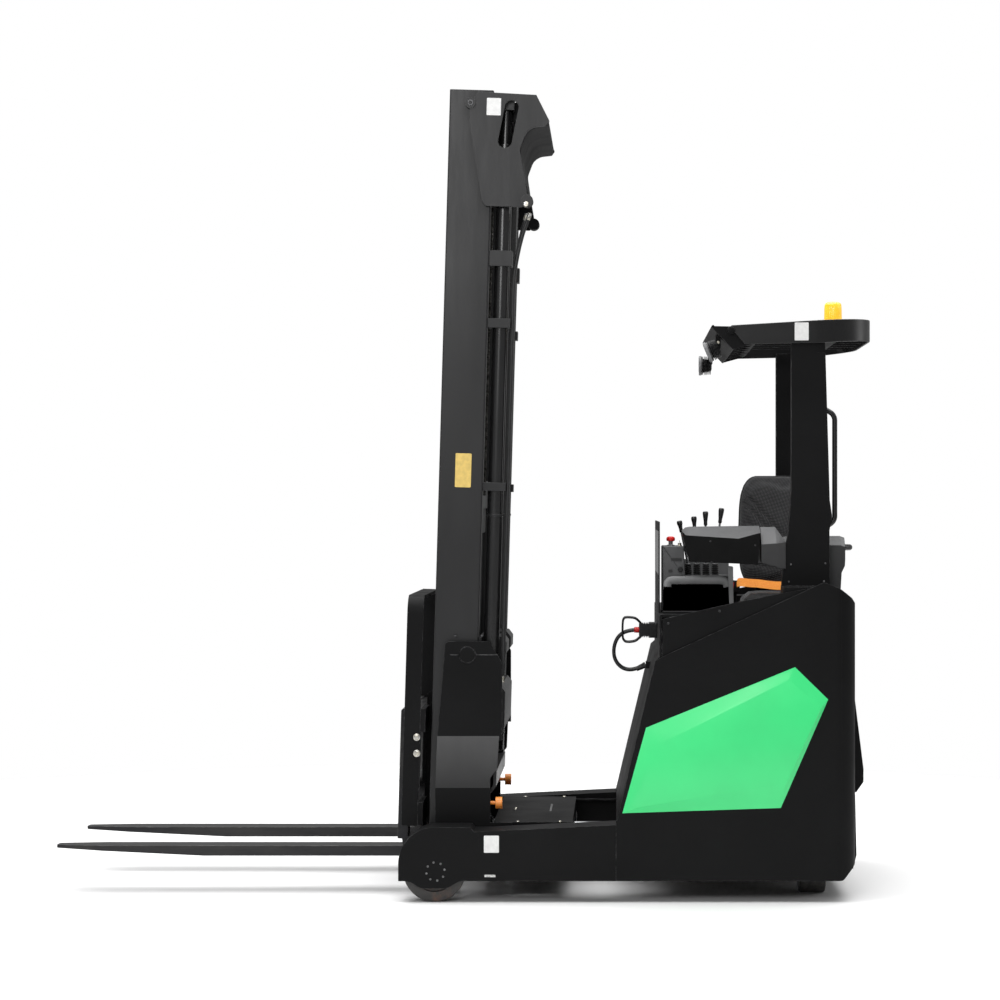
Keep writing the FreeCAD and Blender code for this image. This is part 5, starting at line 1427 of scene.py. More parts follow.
class TRUCK_OT_consoles(bpy.types.Operator):
    """Moulded console under the levers, and the display housing with its beam"""

    bl_idname = "truck.consoles"
    bl_label = "Consoles"

    def execute(self, context):
        rounded_copy("lever_console_shell", ["lever_console"], "chassis", "black_plastic",
                     ["grey moulding", "black powder coat"], 0.006,
                     choose=lambda face: int(face.calc_center_median().y > -0.38
                                             and face.calc_center_median().z < 1.21))
        self.housing()
        self.arm()
        self.console_band()
        self.slots()
        return {"FINISHED"}

    def housing(self):
        """Display housing: front face, the facet over it and the pointed left end."""
        bm = bmesh.new()
        rows = ((0.852, 0.853, 1.404, 1.4085, 1.4135), (0.8655, 0.8655, 1.350, 1.396, 1.4245),
                (0.882, 0.882, 1.2935, 1.3945, 1.428), (1.068, 1.068, 1.286, 1.3825, 1.4305),
                (1.1405, 1.1465, 1.282, 1.4035, 1.431), (1.1425, 1.1540, 1.282, 1.404, 1.431))
        sections = []
        for low_x, top_x, low, front, top in rows:
            sections.append([Vector(p) for p in (
                (low_x, -0.505, low), (top_x, -0.505, front), (top_x, -0.395, top),
                (top_x, -0.335, top - 0.012), (low_x, -0.292, max(low, 1.334)),
                (low_x, -0.330, low))])
        loft(bm, sections)
        bmesh.ops.recalc_face_normals(bm, faces=bm.faces)
        # up-facing faces get the grey moulding: painted top light on the black housing
        for face in bm.faces:
            face.material_index = int(face.normal.z > 0.25 and face.normal.x > -0.6)
        shell = piece_of("display_housing", bm, "chassis", "black_plastic",
                         "glossy black moulding", "grey moulding", angle=12)
        with_bevel(shell, 0.0028, 3, 12)
        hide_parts("dash_console")

    def arm(self):
        """The arm that carries the housing, its hipped top and the column's shelf."""
        bm = bmesh.new()
        sections = []
        for x, front, top, low, out in ((1.1570, 1.360, 1.4265, 1.289, -0.500),
                                        (1.2150, 1.364, 1.4270, 1.274, -0.500),
                                        (1.2300, 1.366, 1.4060, 1.268, -0.500),
                                        (1.2510, 1.369, 1.3760, 1.266, -0.497)):
            sections.append([Vector((x, y, z)) for y, z in (
                (out, low), (out, front), (-0.404, top), (-0.350, top - 0.010),
                (-0.340, low + 0.002))])
        loft(bm, sections)
        sections = []
        for x, low, top in ((1.2400, 1.268, 1.386), (1.2720, 1.268, 1.392), (1.2760, 1.181, 1.392),
                            (1.4680, 1.181, 1.392), (1.4720, 1.250, 1.390),
                            (1.4845, 1.276, 1.386), (1.4860, 1.300, 1.380)):
            sections.append([Vector((x, y, z)) for y, z in (
                (-0.435, low), (-0.435, top - 0.036), (-0.395, top), (-0.312, top - 0.022),
                (-0.310, 1.300), (-0.345, low))])
        loft(bm, sections)
        bmesh.ops.recalc_face_normals(bm, faces=bm.faces)
        # faces turned up and towards -Y get the grey moulding: painted top light on the charcoal
        # arm
        for face in bm.faces:
            face.material_index = int(face.normal.z > 0.3 and face.normal.y < -0.1)
        prism(bm, rectangle(1.346, 0.742, 1.464, 1.182, 0.004, 3), side_on, -0.439, -0.386)
        x, y, z = STEER_AT
        prism(bm, rectangle(x - 0.045, -0.318, x + 0.045, y + 0.045, 0.012, 4), from_above,
              z - 0.069, z - 0.031)
        shell = piece_of("display_beam", bm, "chassis", "black_plastic", "charcoal moulding",
                         "grey moulding", angle=12)
        with_bevel(shell, 0.003, 3, 12)
        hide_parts("dash_base")

    def console_band(self):
        """The pale moulded lip over the knee recess, its post, and the wall behind the levers."""
        bm = bmesh.new()
        lip = [(0.0, 0.0), (0.0, -0.026), (-0.004, -0.029), (-0.009, -0.026), (-0.014, -0.014),
               (-0.014, -0.006), (-0.010, 0.0015), (-0.003, 0.003)]
        path = [(0.7905, 1.196), (0.7925, 1.212), (0.802, 1.222), (0.816, 1.226),
                (1.000, 1.226), (1.018, 1.222), (1.030, 1.212), (1.034, 1.196)]
        sections = []
        for i, (x, z) in enumerate(path):
            before, after = path[max(i - 1, 0)], path[min(i + 1, len(path) - 1)]
            on = Vector((after[0] - before[0], 0, after[1] - before[1])).normalized()
            up = Vector((-on.z, 0, on.x))
            sections.append([Vector((x, -0.431, z)) + Y_AXIS * u + up * (v + 0.008)
                             for u, v in lip])
        loft(bm, sections)
        piece_of("console_lip", bm, "chassis", "black_plastic", "pale grey moulding", angle=50)
        bm = bmesh.new()
        post = [(1.030, 1.276), (1.050, 1.274), (1.052, 1.118), (1.036, 1.118)]
        prism(bm, rounded(post, 0.005, 4), side_on, -0.452, -0.4315)
        wall = rounded([(0.856, 1.230), (1.046, 1.230), (1.046, 1.2865), (0.856, 1.2985)],
                       0.004, 3)
        prism(bm, wall, side_on, -0.166, -0.154)
        end = piece_of("console_post", bm, "chassis", "black_plastic", "pale grey moulding")
        with_bevel(end, 0.003, 3)

    def slots(self):
        bm = bmesh.new()
        for x0, x1, z in ((0.810, 0.852, 1.300), (0.800, 0.816, 1.256)):
            prism(bm, rectangle(x0, z - 0.006, x1, z + 0.006, 0.004, 3), side_on, -0.4315, -0.4285)
        piece_of("console_slots", bm, "chassis", "black_plastic", "black rubber")
        bm = bmesh.new()
        turned(bm, [(0.0100, 0), (0.0100, 0.008), (0.0082, 0.011), (0, 0.0112)],
               (0.846, -0.4315, 1.262), (0, -1, 0), 24)
        piece_of("console_knob", bm, "chassis", "black_plastic", "smooth black plastic")
        places = [((x, -0.5052, z), (0, -1, 0)) for x, z in
                  ((0.960, 1.372), (0.965, 1.291), (1.133, 1.357), (1.148, 1.292))]
        head = bmesh.new()
        socket_bolt(head, (0, 0, 0), (0, 0, 1), 1.0, 0.6)
        grown("display_screws", "copies", points_mesh(places), "chassis", "black_plastic",
              "blackened screw", 25, Shape=template("housing screw", head), Size=0.0042,
              Turn=6.0, Seed=2)


class TRUCK_OT_steering_wheel(bpy.types.Operator):
    """Small wheel with a moulded rim, three flat spokes and a spinner knob"""

    bl_idname = "truck.steering_wheel"
    bl_label = "Steering wheel"

    def execute(self, context):
        centre = STEER_AT + Vector((0, 0, 0.034))
        bm = bmesh.new()
        count, sides = 72, 16
        sections = []
        for i in range(count):
            angle = 2 * math.pi * i / count
            out = Vector((math.cos(angle), math.sin(angle), 0))
            grip = 0.0004 * math.cos(angle * 24)
            points = []
            for k in range(sides):
                turn = 2 * math.pi * k / sides
                points.append(centre + out * (0.100 + (0.0115 + grip) * math.cos(turn))
                              + Z_AXIS * (0.0117 + grip) * math.sin(turn))
            sections.append(points)
        loft(bm, sections, closed=True)
        for degrees in (90, 210, 330):
            angle = math.radians(degrees)
            out = Vector((math.cos(angle), math.sin(angle), 0))
            side = Vector((-out.y, out.x, 0))
            spokes = []
            for reach, wide, lift in ((0.018, 0.012, 0), (0.045, 0.0095, 0.001),
                                      (0.078, 0.0085, 0.001), (0.094, 0.012, 0)):
                middle = centre + out * reach + Z_AXIS * lift
                spokes.append([middle + side * u + Z_AXIS * v for u, v in
                               rectangle(-wide, -0.004, wide, 0.004, 0.003, 3)])
            loft(bm, spokes)
        turned(bm, [(0.014, -0.100), (0.014, -0.055), (0.0255, -0.052), (0.0258, -0.010),
                    (0.0255, 0.004), (0.022, 0.009), (0.012, 0.010), (0, 0.010)],
               centre, Z_AXIS, 36)
        wheel = piece_of("steering_wheel_rim", bm, "steering", "black_plastic",
                         "smooth black plastic", angle=40)
        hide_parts("steering_wheel")
        bm = bmesh.new()
        foot = centre + Vector((-0.092, 0, 0.008))
        turned(bm, [(0.010, 0), (0.0062, 0.003), (0.0062, 0.010), (0.0115, 0.014),
                    (0.0148, 0.024), (0.0142, 0.034), (0.010, 0.040), (0, 0.042)],
               foot, Z_AXIS, 28)
        piece_of("spinner_knob", bm, "steering", "black_plastic", "smooth black plastic")
        return {"FINISHED"}


# ---- overhead guard ------------------------------------------------------------------------
BEACON_AT = Vector((1.475, 0, 2.213))
LAMPS = ((-0.420, 2.113, 23.0), (0.420, 2.098, 0.0))       # across, height, tilt in degrees
LAMP_X = 0.973


class TRUCK_OT_guard(bpy.types.Operator):
    """Rounded copies of the guard's ring, roof, pillars and grab rail"""

    bl_idname = "truck.guard"
    bl_label = "Overhead guard"

    def execute(self, context):
        rounded_copy("guard_band", ["guard_ring"], "chassis", "black_paint",
                     ["gloss black enamel"], 0.0022, 3)
        rounded_copy("guard_bars", ["guard_roof"], "chassis", "black_paint",
                     ["black powder coat"], 0.0016, 2)
        rounded_copy("grab_tube", ["grab_rail"], "chassis", "black_paint",
                     ["gloss black enamel"], 0.0004, 1, 50.0)
        for side in ("left", "right"):
            rounded_copy(side + "_pillar", [side + "_guard_pillar"], "chassis", "black_paint",
                         ["black powder coat"], 0.006, 4)
        bm = bmesh.new()
        prism(bm, rectangle(1.2850, 2.1460, 1.3390, 2.2150, 0.002, 2), side_on, -0.5012, -0.4995)
        piece_of("guard_blank_plate", bm, "chassis", "black_paint", "blank white plate")
        bm = bmesh.new()
        for z in (1.879, 2.112):
            hex_bolt(bm, (1.294, 0.4498, z), (0, -1, 0), 0.011, 0.007)
        piece_of("pillar_bolts", bm, "chassis", "chrome_rod", "passivated zinc")
        bm = bmesh.new()
        prism(bm, [(-0.3799, 1.2401), (0.3799, 1.2401), (0.3799, 1.4099), (-0.3799, 1.4099)],
              end_on, 0.7622, 0.7668)
        piece_of("guard_screen", bm, "chassis", "black_paint", "smoked sheet")
        return {"FINISHED"}


class TRUCK_OT_beacon(bpy.types.Operator):
    """Flashing light: a black base and a fluted amber lens"""

    bl_idname = "truck.beacon"
    bl_label = "Beacon"

    def execute(self, context):
        bm = bmesh.new()
        turned(bm, [(0.038, 0), (0.040, 0.002), (0.040, 0.010), (0.036, 0.013), (0.036, 0.024),
                    (0.0385, 0.026), (0.0385, 0.0315), (0.035, 0.032)], BEACON_AT, Z_AXIS, 64)
        piece_of("beacon_base", bm, "chassis", "black_plastic", "smooth black plastic")
        bm = bmesh.new()
        turned(bm, [(0.0355, 0.032), (0.036, 0.034), (0.0358, 0.060), (0.0352, 0.092),
                    (0.0340, 0.108), (0.0300, 0.1155), (0.020, 0.1195), (0.008, 0.1208),
                    (0, 0.1210)], BEACON_AT, Z_AXIS, 144, flutes=36, depth=0.0011)
        lens = piece_of("beacon_lens", bm, "chassis", "amber_lens", "amber lens", angle=60)
        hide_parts("beacon")
        return {"FINISHED"}


class TRUCK_OT_work_lights(bpy.types.Operator):
    """Two finned lamps on their brackets under the guard's front panel"""

    bl_idname = "truck.work_lights"
    bl_label = "Work lights"

    def execute(self, context):
        bodies, rims, lenses, brackets, bolts = (bmesh.new() for _ in range(5))
        for y, z, tilt in LAMPS:
            angle = math.radians(tilt)
            ahead = Vector((-math.cos(angle), 0, -math.sin(angle)))
            middle = Vector((LAMP_X, y, z))
            back = middle - ahead * 0.027
            profile = [(0, 0), (0.016, 0.0004), (0.020, 0.002)]
            for k in range(6):
                low = 0.004 + k * 0.0052
                root, rim = 0.024 + k * 0.0008, 0.0375 + k * 0.0004
                profile += [(root, low), (rim, low + 0.0008), (rim, low + 0.0026),
                            (root, low + 0.0034)]
            profile += [(0.0300, 0.0365), (0.0385, 0.038), (0.0385, 0.044)]
            turned(bodies, profile, back, ahead, 40)
            turned(rims, [(0.0385, 0.0435), (0.0408, 0.0445), (0.0410, 0.0500), (0.0402, 0.0535),
                          (0.0372, 0.0540), (0.0362, 0.0515)], back, ahead, 48)
            turned(lenses, [(0.0364, 0.0505), (0.0355, 0.0520), (0.024, 0.0534), (0.010, 0.0539),
                            (0, 0.0540)], back, ahead, 60)
            across = 0.012
            arm = [(LAMP_X + 0.010, z + 0.006), (LAMP_X + 0.030, z + 0.006),
                   (LAMP_X + 0.030, z + 0.044), (LAMP_X + 0.010, z + 0.064)]
            prism(brackets, rounded(arm, 0.003, 3), side_on, y - across, y - across + 0.004)
            prism(brackets, rounded(arm, 0.003, 3), side_on, y + across - 0.004, y + across)
            prism(brackets, [(LAMP_X + 0.0265, z + 0.012), (LAMP_X + 0.030, z + 0.012),
                             (LAMP_X + 0.030, z + 0.044), (LAMP_X + 0.0265, z + 0.0475)],
                  side_on, y - across + 0.004, y + across - 0.004)
            turned(bolts, [(0.0055, 0), (0.0062, 0.0006), (0.0062, 0.0038), (0.0050, 0.0048)],
                   (LAMP_X + 0.020, y - across - 0.0001, z + 0.030), (0, -1, 0), 6)
        slot = "black_plastic"
        lamps = piece_of("work_light_bodies", bodies, "chassis", slot, "smooth black plastic")
        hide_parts("work_lights")
        piece_of("work_light_rims", rims, "chassis", slot, "grey plastic")
        piece_of("work_light_lenses", lenses, "chassis", slot, "fluted lamp glass", angle=60)
        piece_of("work_light_brackets", brackets, "chassis", slot, "black powder coat")
        piece_of("work_light_bolts", bolts, "chassis", slot, "passivated zinc", angle=20)
        return {"FINISHED"}


# ---- mast ----------------------------------------------------------------------------------
MAST_LEAN = math.radians(1.64)
PIVOT = Vector((0.020, 0, 0.931))
LEAN = Matrix.Rotation(MAST_LEAN, 4, "Y")
BARREL_X, BARREL_Y = 0.109, 0.366
HEAD_FACE = -0.434


def leaned(point):
    """Where a point of the upright mast lies at rest."""
    return LEAN @ (Vector(point) - PIVOT) + PIVOT


def lean_mesh(bm):
    bmesh.ops.transform(bm, matrix=LEAN, space=Matrix.Translation(-PIVOT), verts=bm.verts)
    return bm


def hex_bolt(bm, at, axis, size, height):
    """A hexagon head with a chamfered top on its washer."""
    turned(bm, [(size * 0.92, 0), (size * 0.95, height * 0.06), (size * 0.95, height * 0.2),
                (size * 0.86, height * 0.24)], at, axis, 24)
    rise = height * 0.22
    turned(bm, [(size * 0.80, rise), (size * 0.80, rise + height * 0.72),
                (size * 0.70, rise + height * 0.8), (size * 0.3, rise + height * 0.82),
                (0, rise + height * 0.82)], at, axis, 6)


def socket_bolt(bm, at, axis, radius, height):
    """A round head with a six-sided socket in it."""
    turned(bm, [(radius, 0), (radius, height * 0.8), (radius * 0.9, height),
                (radius * 0.56, height), (radius * 0.5, height * 0.45), (0, height * 0.42)],
           at, axis, 24)


def dome_bolt(bm, at, axis, radius, height):
    """A plain domed head."""
    turned(bm, [(radius, 0), (radius * 0.98, height * 0.35), (radius * 0.8, height * 0.75),
                (radius * 0.45, height * 0.97), (0, height)], at, axis, 24)


class TRUCK_OT_mast(bpy.types.Operator):
    """Rounded copies of the mast's rails, beams and head, with glands, bolts and plates"""

    bl_idname = "truck.mast"
    bl_label = "Mast"

    def execute(self, context):
        paint = ["mast paint"]
        # inside: the mast head's inner faces get the darker black coat, painted shade between its
        # plates
        inside = ["mast paint", "black powder coat"]
        for name, node, body, coats, width, choose in (
                ("outer_rail_pair", "outer_rails", "outer_mast", paint, 0.0022, None),
                ("mast_head_plates", "mast_head", "outer_mast", inside, 0.0020,
                 lambda face: int(abs(face.calc_center_median().y) < 0.425)),
                ("mast_cross_beams", "outer_beams", "outer_mast", paint, 0.0020, None),
                ("middle_rail_pair", "middle_stage", "middle_mast", paint, 0.0018, None),
                ("inner_rail_pair", "inner_stage", "inner_mast", paint, 0.0018, None)):
            rounded_copy(name, [node], body, "mast_paint", coats, width, 2, choose=choose)
        # faces that slant slightly upward get the paler satin coat: painted light where the
        # overhead lamps catch them
        rounded_copy("mast_bracket_pair", ["mast_brackets"], "reach_carriage", "black_paint",
                     ["black powder coat", "satin charcoal coat"], 0.0025, 3,
                     choose=lambda face: int(abs(face.normal.y) > 0.9
                                             and 0.02 < face.normal.z < 0.4))
        self.cylinders()
        self.head()
        self.brackets()
        return {"FINISHED"}

    def cylinders(self):
        glands, rings = bmesh.new(), bmesh.new()
        for y in (-BARREL_Y, BARREL_Y):
            top = Vector((BARREL_X, y, 2.890))
            turned(glands, [(0.0335, -0.062), (0.0345, -0.060), (0.0345, -0.012),
                            (0.0325, -0.006), (0.0325, -0.0005), (0.0226, 0.0015),
                            (0.0222, 0.0015)], top, Z_AXIS, 40)
            for z in (0.560, 1.470):
                turned(rings, [(0.0312, 0), (0.0326, 0.001), (0.0326, 0.009), (0.0312, 0.010)],
                       (BARREL_X, y, z), Z_AXIS, 40)
        piece_of("lift_glands", lean_mesh(glands), "outer_mast", "mast_paint", "mast paint")
        piece_of("lift_barrel_bands", lean_mesh(rings), "outer_mast", "mast_paint", "mast paint")
        bm = bmesh.new()
        turned(bm, [(0.0445, -0.070), (0.0455, -0.068), (0.0455, -0.012), (0.0432, -0.005),
                    (0.0432, 0.0005), (0.0266, 0.0025), (0.0262, 0.0025)],
               (-0.040, 0, 1.500), Z_AXIS, 44)
        piece_of("free_lift_gland", lean_mesh(bm), "inner_mast", "mast_paint", "mast paint")

    def head(self):
        zinc, plates, dark = bmesh.new(), bmesh.new(), bmesh.new()
        at = leaned((-0.029, HEAD_FACE, 3.071))
        turned(dark, [(0.021, 0), (0.021, 0.0006), (0.0165, 0.0006), (0.0165, 0.0003)],
               at, (0, -1, 0), 32)
        socket_bolt(dark, at, (0, -1, 0), 0.012, 0.005)
        hex_bolt(zinc, leaned((0.198, HEAD_FACE, 2.684)), (0, -1, 0), 0.013, 0.009)
        prism(plates, [tuple(leaned((u, 0, v)).xz) for u, v in
                       rectangle(0.035, 3.025, 0.090, 3.092, 0.003, 3)], side_on,
              HEAD_FACE - 0.0012, HEAD_FACE + 0.001)
        piece_of("mast_head_bolts", zinc, "outer_mast", "chrome_rod", "passivated zinc", angle=25)
        piece_of("mast_head_blank_plate", plates, "outer_mast", "mast_paint",
                 "blank white plate")
        piece_of("mast_head_rings", dark, "outer_mast", "mast_paint", "blackened screw")
        bm = bmesh.new()
        prism(bm, rectangle(-0.048, 1.580, 0.014, 1.712, 0.004, 3), side_on, -0.4172, -0.4155)
        piece_of("mast_blank_plate", lean_mesh(bm), "outer_mast", "mast_paint",
                 "blank yellow plate")
        bm = bmesh.new()
        for side in (-1, 1):
            prism(bm, rectangle(0.084, 3.015, 0.172, 3.092, 0.004, 3), side_on,
                  side * 0.330, side * 0.336)
        piece_of("crosshead_plates", lean_mesh(bm), "middle_mast", "mast_paint",
                 "black powder coat")

    def brackets(self):
        collars, domes, zinc = bmesh.new(), bmesh.new(), bmesh.new()
        for side in (-1, 1):
            out = Vector((0, side, 0))
            face = Vector((0.020, side * 0.434, 0.931))
            turned(collars, [(0.0345, 0), (0.0345, 0.0012), (0.0335, 0.0016), (0.0322, 0.0016),
                             (0.0312, 0.0004), (0.0305, 0.0004), (0.0298, 0.0014),
                             (0.010, 0.0018), (0, 0.0018)], face, out, 48)
            seam = face + Vector((0, side * 0.0004, 0.0))
            for x0, x1 in ((-0.066, -0.0350), (0.0350, 0.118)):
                prism(zinc, [(face.x + x0, seam.z - 0.0006), (face.x + x1, seam.z - 0.0006),
                             (face.x + x1, seam.z + 0.0006), (face.x + x0, seam.z + 0.0006)],
                      side_on, face.y - 0.0003, face.y + side * 0.0005)
            for x, z in ((-0.026, 1.0015), (0.076, 1.0015)):
                dome_bolt(domes, (x, side * 0.4275, z), Z_AXIS, 0.0065, 0.006)
        piece_of("pivot_caps", collars, "reach_carriage", "black_paint", "black powder coat")
        piece_of("pivot_cap_joints", zinc, "reach_carriage", "black_paint", "machined steel")
        piece_of("pivot_cap_bolts", domes, "reach_carriage", "black_paint", "blackened screw")


# ---- fittings ------------------------------------------------------------------------------
SIDE_FACE = 0.635
SCREW_FACE = SIDE_FACE + 0.0002
LOAD_WHEEL_X, LOAD_WHEEL_Z = -0.089, 0.1195
HUB_CIRCLE = 0.035
TRAY_TOP = 0.2832
HOSE_X = 0.157


class TRUCK_OT_mast_hoses(bpy.types.Operator):
    """Two hydraulic hoses with crimped fittings"""

    bl_idname = "truck.mast_hoses"
    bl_label = "Mast hoses"

    def execute(self, context):
        hoses, crimps = bmesh.new(), bmesh.new()
        for y, swing in ((-0.388, 0.056), (-0.364, 0.044)):
            x = HOSE_X
            points = smooth_run([(x, y, 0.822), (x, y, 1.2), (x, y, 1.8), (x, y, 2.2),
                                 (x, y, 2.38), (x + 0.16 * swing, y, 2.47),
                                 (x + 0.5 * swing, y, 2.565), (x + swing, y, 2.655)], 10)
            swept(hoses, points, 0.0078, 14)
            for at, on in ((Vector(points[0]), Z_AXIS),
                           (Vector(points[-1]), Vector(points[-2]) - Vector(points[-1]))):
                turned(crimps, [(0.006, 0), (0.0092, 0.0005), (0.0092, 0.006), (0.0078, 0.008),
                                (0.0094, 0.010), (0.0094, 0.026), (0.0082, 0.028)],
                       at, on, 20)
        hose = piece_of("mast_hose_pair", lean_mesh(hoses), "outer_mast", "soft_black",
                        "black rubber", angle=60)
        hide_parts("mast_hoses")
        piece_of("hose_crimps", lean_mesh(crimps), "outer_mast", "chrome_rod",
                 "passivated zinc")
        return {"FINISHED"}


class TRUCK_OT_fasteners(bpy.types.Operator):
    """Screw heads and bolts of the covers, the wheels, the guard and the load backrest"""

    bl_idname = "truck.fasteners"
    bl_label = "Fasteners"

    def execute(self, context):
        button, hexagon, dome = bmesh.new(), bmesh.new(), bmesh.new()
        socket_bolt(button, (0, 0, 0), (0, 0, 1), 1.0, 0.62)
        hex_bolt(hexagon, (0, 0, 0), (0, 0, 1), 1.0, 0.85)
        dome_bolt(dome, (0, 0, 0), (0, 0, 1), 1.0, 0.55)
        shapes = {"button": template("button head", button),
                  "hex": template("hexagon head", hexagon, 20),
                  "dome": template("dome head", dome)}
        up = (0, 0, 1)
        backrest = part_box("load_backrest")[1].y + 0.0002
        left, right = -1, 1
        groups = {
            "panel_screws": ("button", "chassis", "blackened screw", 0.0052, [
                ((0.795, s * SCREW_FACE, 1.062), (0, s, 0)) for s in (left, right)] + [
                ((0.990, s * SCREW_FACE, 1.109), (0, s, 0)) for s in (left, right)]),
            "pillar_foot_screws": ("button", "chassis", "machined steel", 0.0036, [
                ((x, s * 0.4922, z), (0, s, 0)) for s in (left, right)
                for x, z in ((1.271, 1.283), (1.404, 1.287), (1.263, 1.217), (1.398, 1.218))]),
            "roof_dome": ("dome", "chassis", "black powder coat", 0.016, [
                ((1.040, s * 0.5002, 2.185), (0, s, 0)) for s in (left, right)]),
            "tray_screws": ("dome", "reach_carriage", "passivated zinc", 0.0075, [
                ((x, s * 0.425, TRAY_TOP), up) for s in (left, right) for x in (0.2155, 0.380)]
                + [((0.191, s * 0.02, TRAY_TOP), up) for s in (left, right)]),
            "backrest_bolts": ("hex", "carriage", "passivated zinc", 0.0145, [
                ((-0.1755, s * backrest, z), (0, s, 0)) for s in (left, right)
                for z in (0.612, 0.549)]),
            "hub_holes": ("button", "chassis", "machined steel", 0.0042, [
                ((LOAD_WHEEL_X + HUB_CIRCLE * math.cos(k * math.pi / 4 + 0.2), s * SCREW_FACE,
                  LOAD_WHEEL_Z + HUB_CIRCLE * math.sin(k * math.pi / 4 + 0.2)), (0, s, 0))
                for s in (left, right) for k in range(8)]),
        }
        for name, (shape, body, finish, size, places) in groups.items():
            grown(name, "copies", points_mesh(places), body, "chrome_rod", finish, 25,
                  Shape=shapes[shape], Size=size, Turn=6.0, Seed=4)
        return {"FINISHED"}


class TRUCK_OT_blank_plates(bpy.types.Operator):
    """Blank plates, the slot covers on the legs and the slot in the tray"""

    bl_idname = "truck.blank_plates"
    bl_label = "Blank plates and slot covers"

    def execute(self, context):
        white, bright, dark = bmesh.new(), bmesh.new(), bmesh.new()
        for side in (-1, 1):
            face = side * SIDE_FACE
            prism(white, rectangle(0.095, 0.191, 0.152, 0.256, 0.003, 3), side_on,
                  face - side * 0.0005, face + side * 0.0010)
            prism(bright, rectangle(0.097, 0.0985, 0.139, 0.1075, 0.002, 3), side_on,
                  face - side * 0.0005, face + side * 0.0012)
        piece_of("leg_blank_plates", white, "chassis", "black_paint", "blank white plate")
        piece_of("leg_slot_covers", bright, "chassis", "black_paint", "galvanised sheet")
        prism(dark, rectangle(0.330, -0.075, 0.338, 0.165, 0.003, 3), from_above, 0.2828, 0.2836)
        piece_of("tray_slot_edge", dark, "reach_carriage", "black_paint", "machined steel")
        return {"FINISHED"}


class TRUCK_OT_wheels(bpy.types.Operator):
    """Rounded copies of the legs, panels, frames, covers, forks and buffers"""

    bl_idname = "truck.wheels"
    bl_label = "Legs and wheels"

    def execute(self, context):
        coat, slot = ["black powder coat"], "black_paint"
        for side in ("left", "right"):
            rounded_copy(side + "_leg_shell", [side + "_leg"], "chassis", slot, coat, 0.002, 2)
            rounded_copy(side + "_panel_shell", [side + "_side_panel"], "chassis", slot, coat,
                         0.0025, 3)
        rounded_copy("reach_frame_shell", ["reach_frame"], "reach_carriage", slot, coat, 0.002, 2)
        rounded_copy("side_covers", ["battery_covers"], "chassis", "green_cover",
                     ["satin green"], 0.004, 4)
        rounded_copy("backrest_frame", ["load_backrest"], "carriage", slot, coat, 0.002, 2)
        rounded_copy("fork_pair", ["left_fork", "right_fork"], "fork_set", "steel_fork",
                     ["worn fork steel"], 0.0025, 3)
        rounded_copy("buffer_pair", ["reach_buffers"], "reach_carriage", "orange_buffer",
                     ["orange polyurethane"], 0.002, 2)
        return {"FINISHED"}


class TRUCK_OT_connector(bpy.types.Operator):
    """Battery plug with ribbed edges, its socket, red cable boots and a carrying handle"""

    bl_idname = "truck.connector"
    bl_label = "Battery connector"

    def execute(self, context):
        bm = bmesh.new()
        socket = rectangle(-0.034, 0.976, 0.034, 1.038, 0.006, 4)
        prism(bm, socket, end_on, 0.730, 0.7619)
        teeth = []
        low, high, count = 0.978, 1.036, 6
        step = 0.040 / count
        for k in range(count):
            x = 0.690 + k * step
            teeth += [(x, high - 0.0055), (x + step * 0.25, high), (x + step * 0.6, high),
                      (x + step * 0.75, high - 0.0055)]
        teeth += [(0.730, high - 0.0055), (0.730, low + 0.0055)]
        for k in range(count - 1, -1, -1):
            x = 0.690 + k * step
            teeth += [(x + step * 0.75, low + 0.0055), (x + step * 0.6, low),
                      (x + step * 0.25, low), (x, low + 0.0055)]
        prism(bm, teeth, side_on, -0.030, 0.030)
        block = piece_of("connector_blocks", bm, "chassis", "connector",
                         "smooth black plastic", angle=25)
        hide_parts("battery_connector")
        bm = bmesh.new()
        for y in (-CABLE_Y, CABLE_Y):
            turned(bm, [(0.0078, 0), (0.0112, 0), (0.0112, 0.014), (0.0102, 0.019),
                        (0.0078, 0.020)], (0.690, y, CABLE_POINTS[0][1]), (-1, 0, 0), 24)
        piece_of("connector_boots", bm, "chassis", "connector", "red plastic")
        bm = bmesh.new()
        line = [(0.704, 1.026), (0.690, 1.042), (0.672, 1.055), (0.640, 1.058), (0.628, 1.052),
                (0.624, 1.030), (0.624, 0.984), (0.629, 0.966), (0.642, 0.959), (0.672, 0.962),
                (0.690, 0.974), (0.704, 0.988)]
        for y in (-0.026, 0.026):
            swept(bm, smooth_run([(x, y, z) for x, z in line], 4), 0.0042, 10)
        swept(bm, [(0.624, -0.026, 1.030), (0.624, 0.026, 1.030)], 0.0042, 10)
        swept(bm, [(0.624, -0.026, 0.984), (0.624, 0.026, 0.984)], 0.0042, 10)
        piece_of("connector_handle", bm, "chassis", "connector", "smooth black plastic")
        return {"FINISHED"}


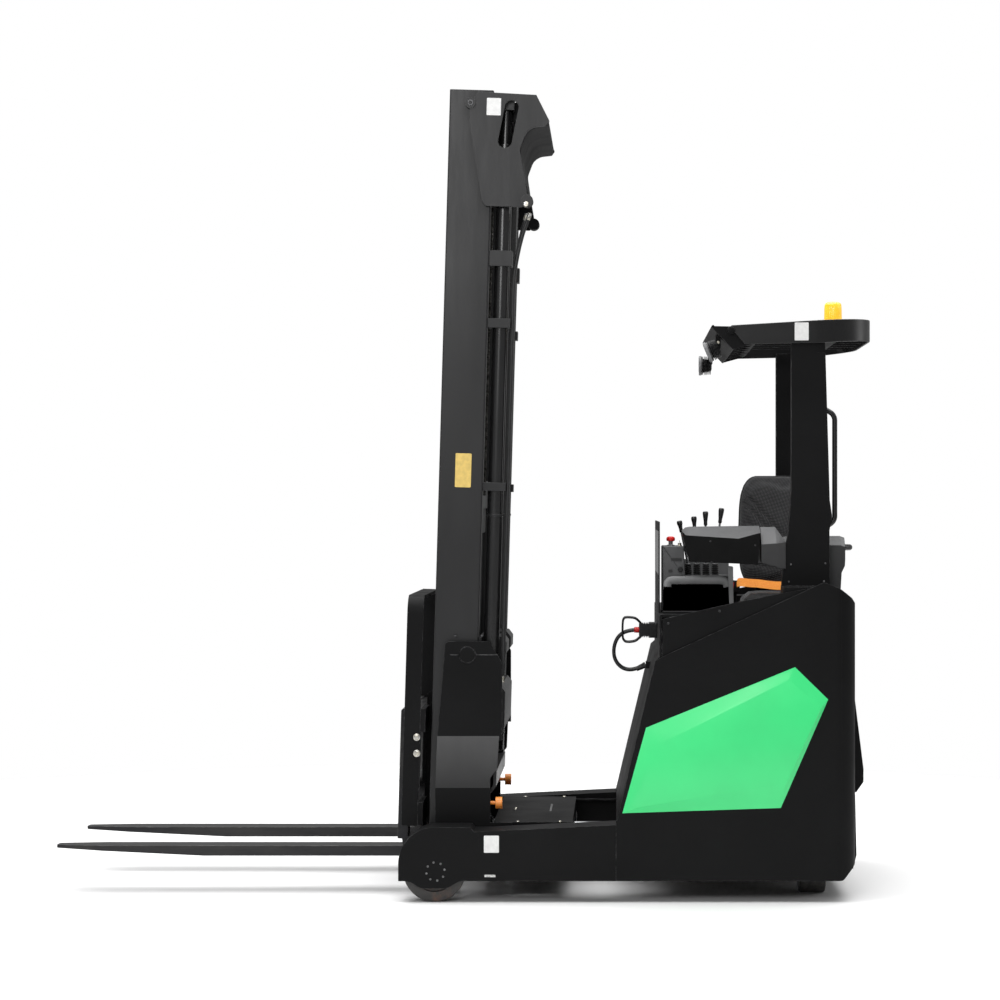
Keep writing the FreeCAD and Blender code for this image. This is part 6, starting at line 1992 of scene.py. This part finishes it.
class TRUCK_OT_chains(bpy.types.Operator):
    """Leaf chains between the middle stage's cross tie and its head"""

    bl_idname = "truck.chains"
    bl_label = "Lift chains"

    def execute(self, context):
        for name, side in (("lift_chain_left", -1), ("lift_chain_right", 1)):
            curve = bpy.data.curves.new("chain line", "CURVE")
            curve.dimensions = "3D"
            spline = curve.splines.new("POLY")
            spline.points.add(1)
            for point, z in zip(spline.points, (1.560, 2.998)):
                point.co = (*leaned((0.062, side * 0.300, z)), 1.0)
            grown(name, "chain", curve, "middle_mast", "chrome_rod", "oiled chain steel", 30,
                  Outer=self.link(0.0050), Inner=self.link(0.0026), Pitch=0.01905)
        return {"FINISHED"}

    def link(self, half):
        """Two waisted plates of a leaf chain with their pin."""
        bm = bmesh.new()
        waist = [(-0.0065, -0.0095, 0.005), (0.0065, -0.0095, 0.005), (0.0045, 0),
                 (0.0065, 0.0095, 0.005), (-0.0065, 0.0095, 0.005), (-0.0045, 0)]
        for y in (-half, half - 0.0016):
            prism(bm, rounded(waist, 0, 2), side_on, y, y + 0.0016)
        turned(bm, [(0.0028, -0.0062), (0.0028, 0.0062)], (0, 0, 0.0095), Y_AXIS, 8)
        return template("chain link", bm, 30)


SETTINGS = {
    "truck_stage": StageSettings,
    "truck_paint": PaintSettings,
    "truck_seat": SeatSettings,
}
OPERATORS = (
    TRUCK_OT_stage,
    TRUCK_OT_battery_cables,
    TRUCK_OT_carried_nodes,
    TRUCK_OT_seat,
    TRUCK_OT_belt,
    TRUCK_OT_levers,
    TRUCK_OT_consoles,
    TRUCK_OT_steering_wheel,
    TRUCK_OT_guard,
    TRUCK_OT_beacon,
    TRUCK_OT_work_lights,
    TRUCK_OT_mast,
    TRUCK_OT_mast_hoses,
    TRUCK_OT_fasteners,
    TRUCK_OT_blank_plates,
    TRUCK_OT_wheels,
    TRUCK_OT_connector,
    TRUCK_OT_chains,
)


# ---- panel and registration ----------------------------------------------------------------
class TRUCK_PT_pieces(bpy.types.Panel):
    """Lists the steps that build the truck, with their settings"""

    bl_idname = "TRUCK_PT_pieces"
    bl_label = "Reach truck"
    bl_space_type = "VIEW_3D"
    bl_region_type = "UI"
    bl_category = "Reach truck"

    def draw(self, context):
        layout = self.layout
        for group in SETTINGS:
            box = layout.box()
            settings = getattr(context.scene, group)
            for prop in settings.bl_rna.properties:
                if prop.identifier not in ("rna_type", "name"):
                    box.prop(settings, prop.identifier)
        for operator in OPERATORS:
            layout.operator(operator.bl_idname)


def register():
    for made in (*SETTINGS.values(), *OPERATORS, TRUCK_PT_pieces):
        bpy.utils.register_class(made)
    for name, group in SETTINGS.items():
        setattr(bpy.types.Scene, name, PointerProperty(type=group))


def unregister():
    for name in SETTINGS:
        delattr(bpy.types.Scene, name)
    for made in (TRUCK_PT_pieces, *OPERATORS[::-1], *SETTINGS.values()):
        bpy.utils.unregister_class(made)


def main():
    register()
    for operator in OPERATORS:
        group, name = operator.bl_idname.split(".")
        getattr(getattr(bpy.ops, group), name)()
    sweep_templates()


if __name__ == "__main__":
    main()
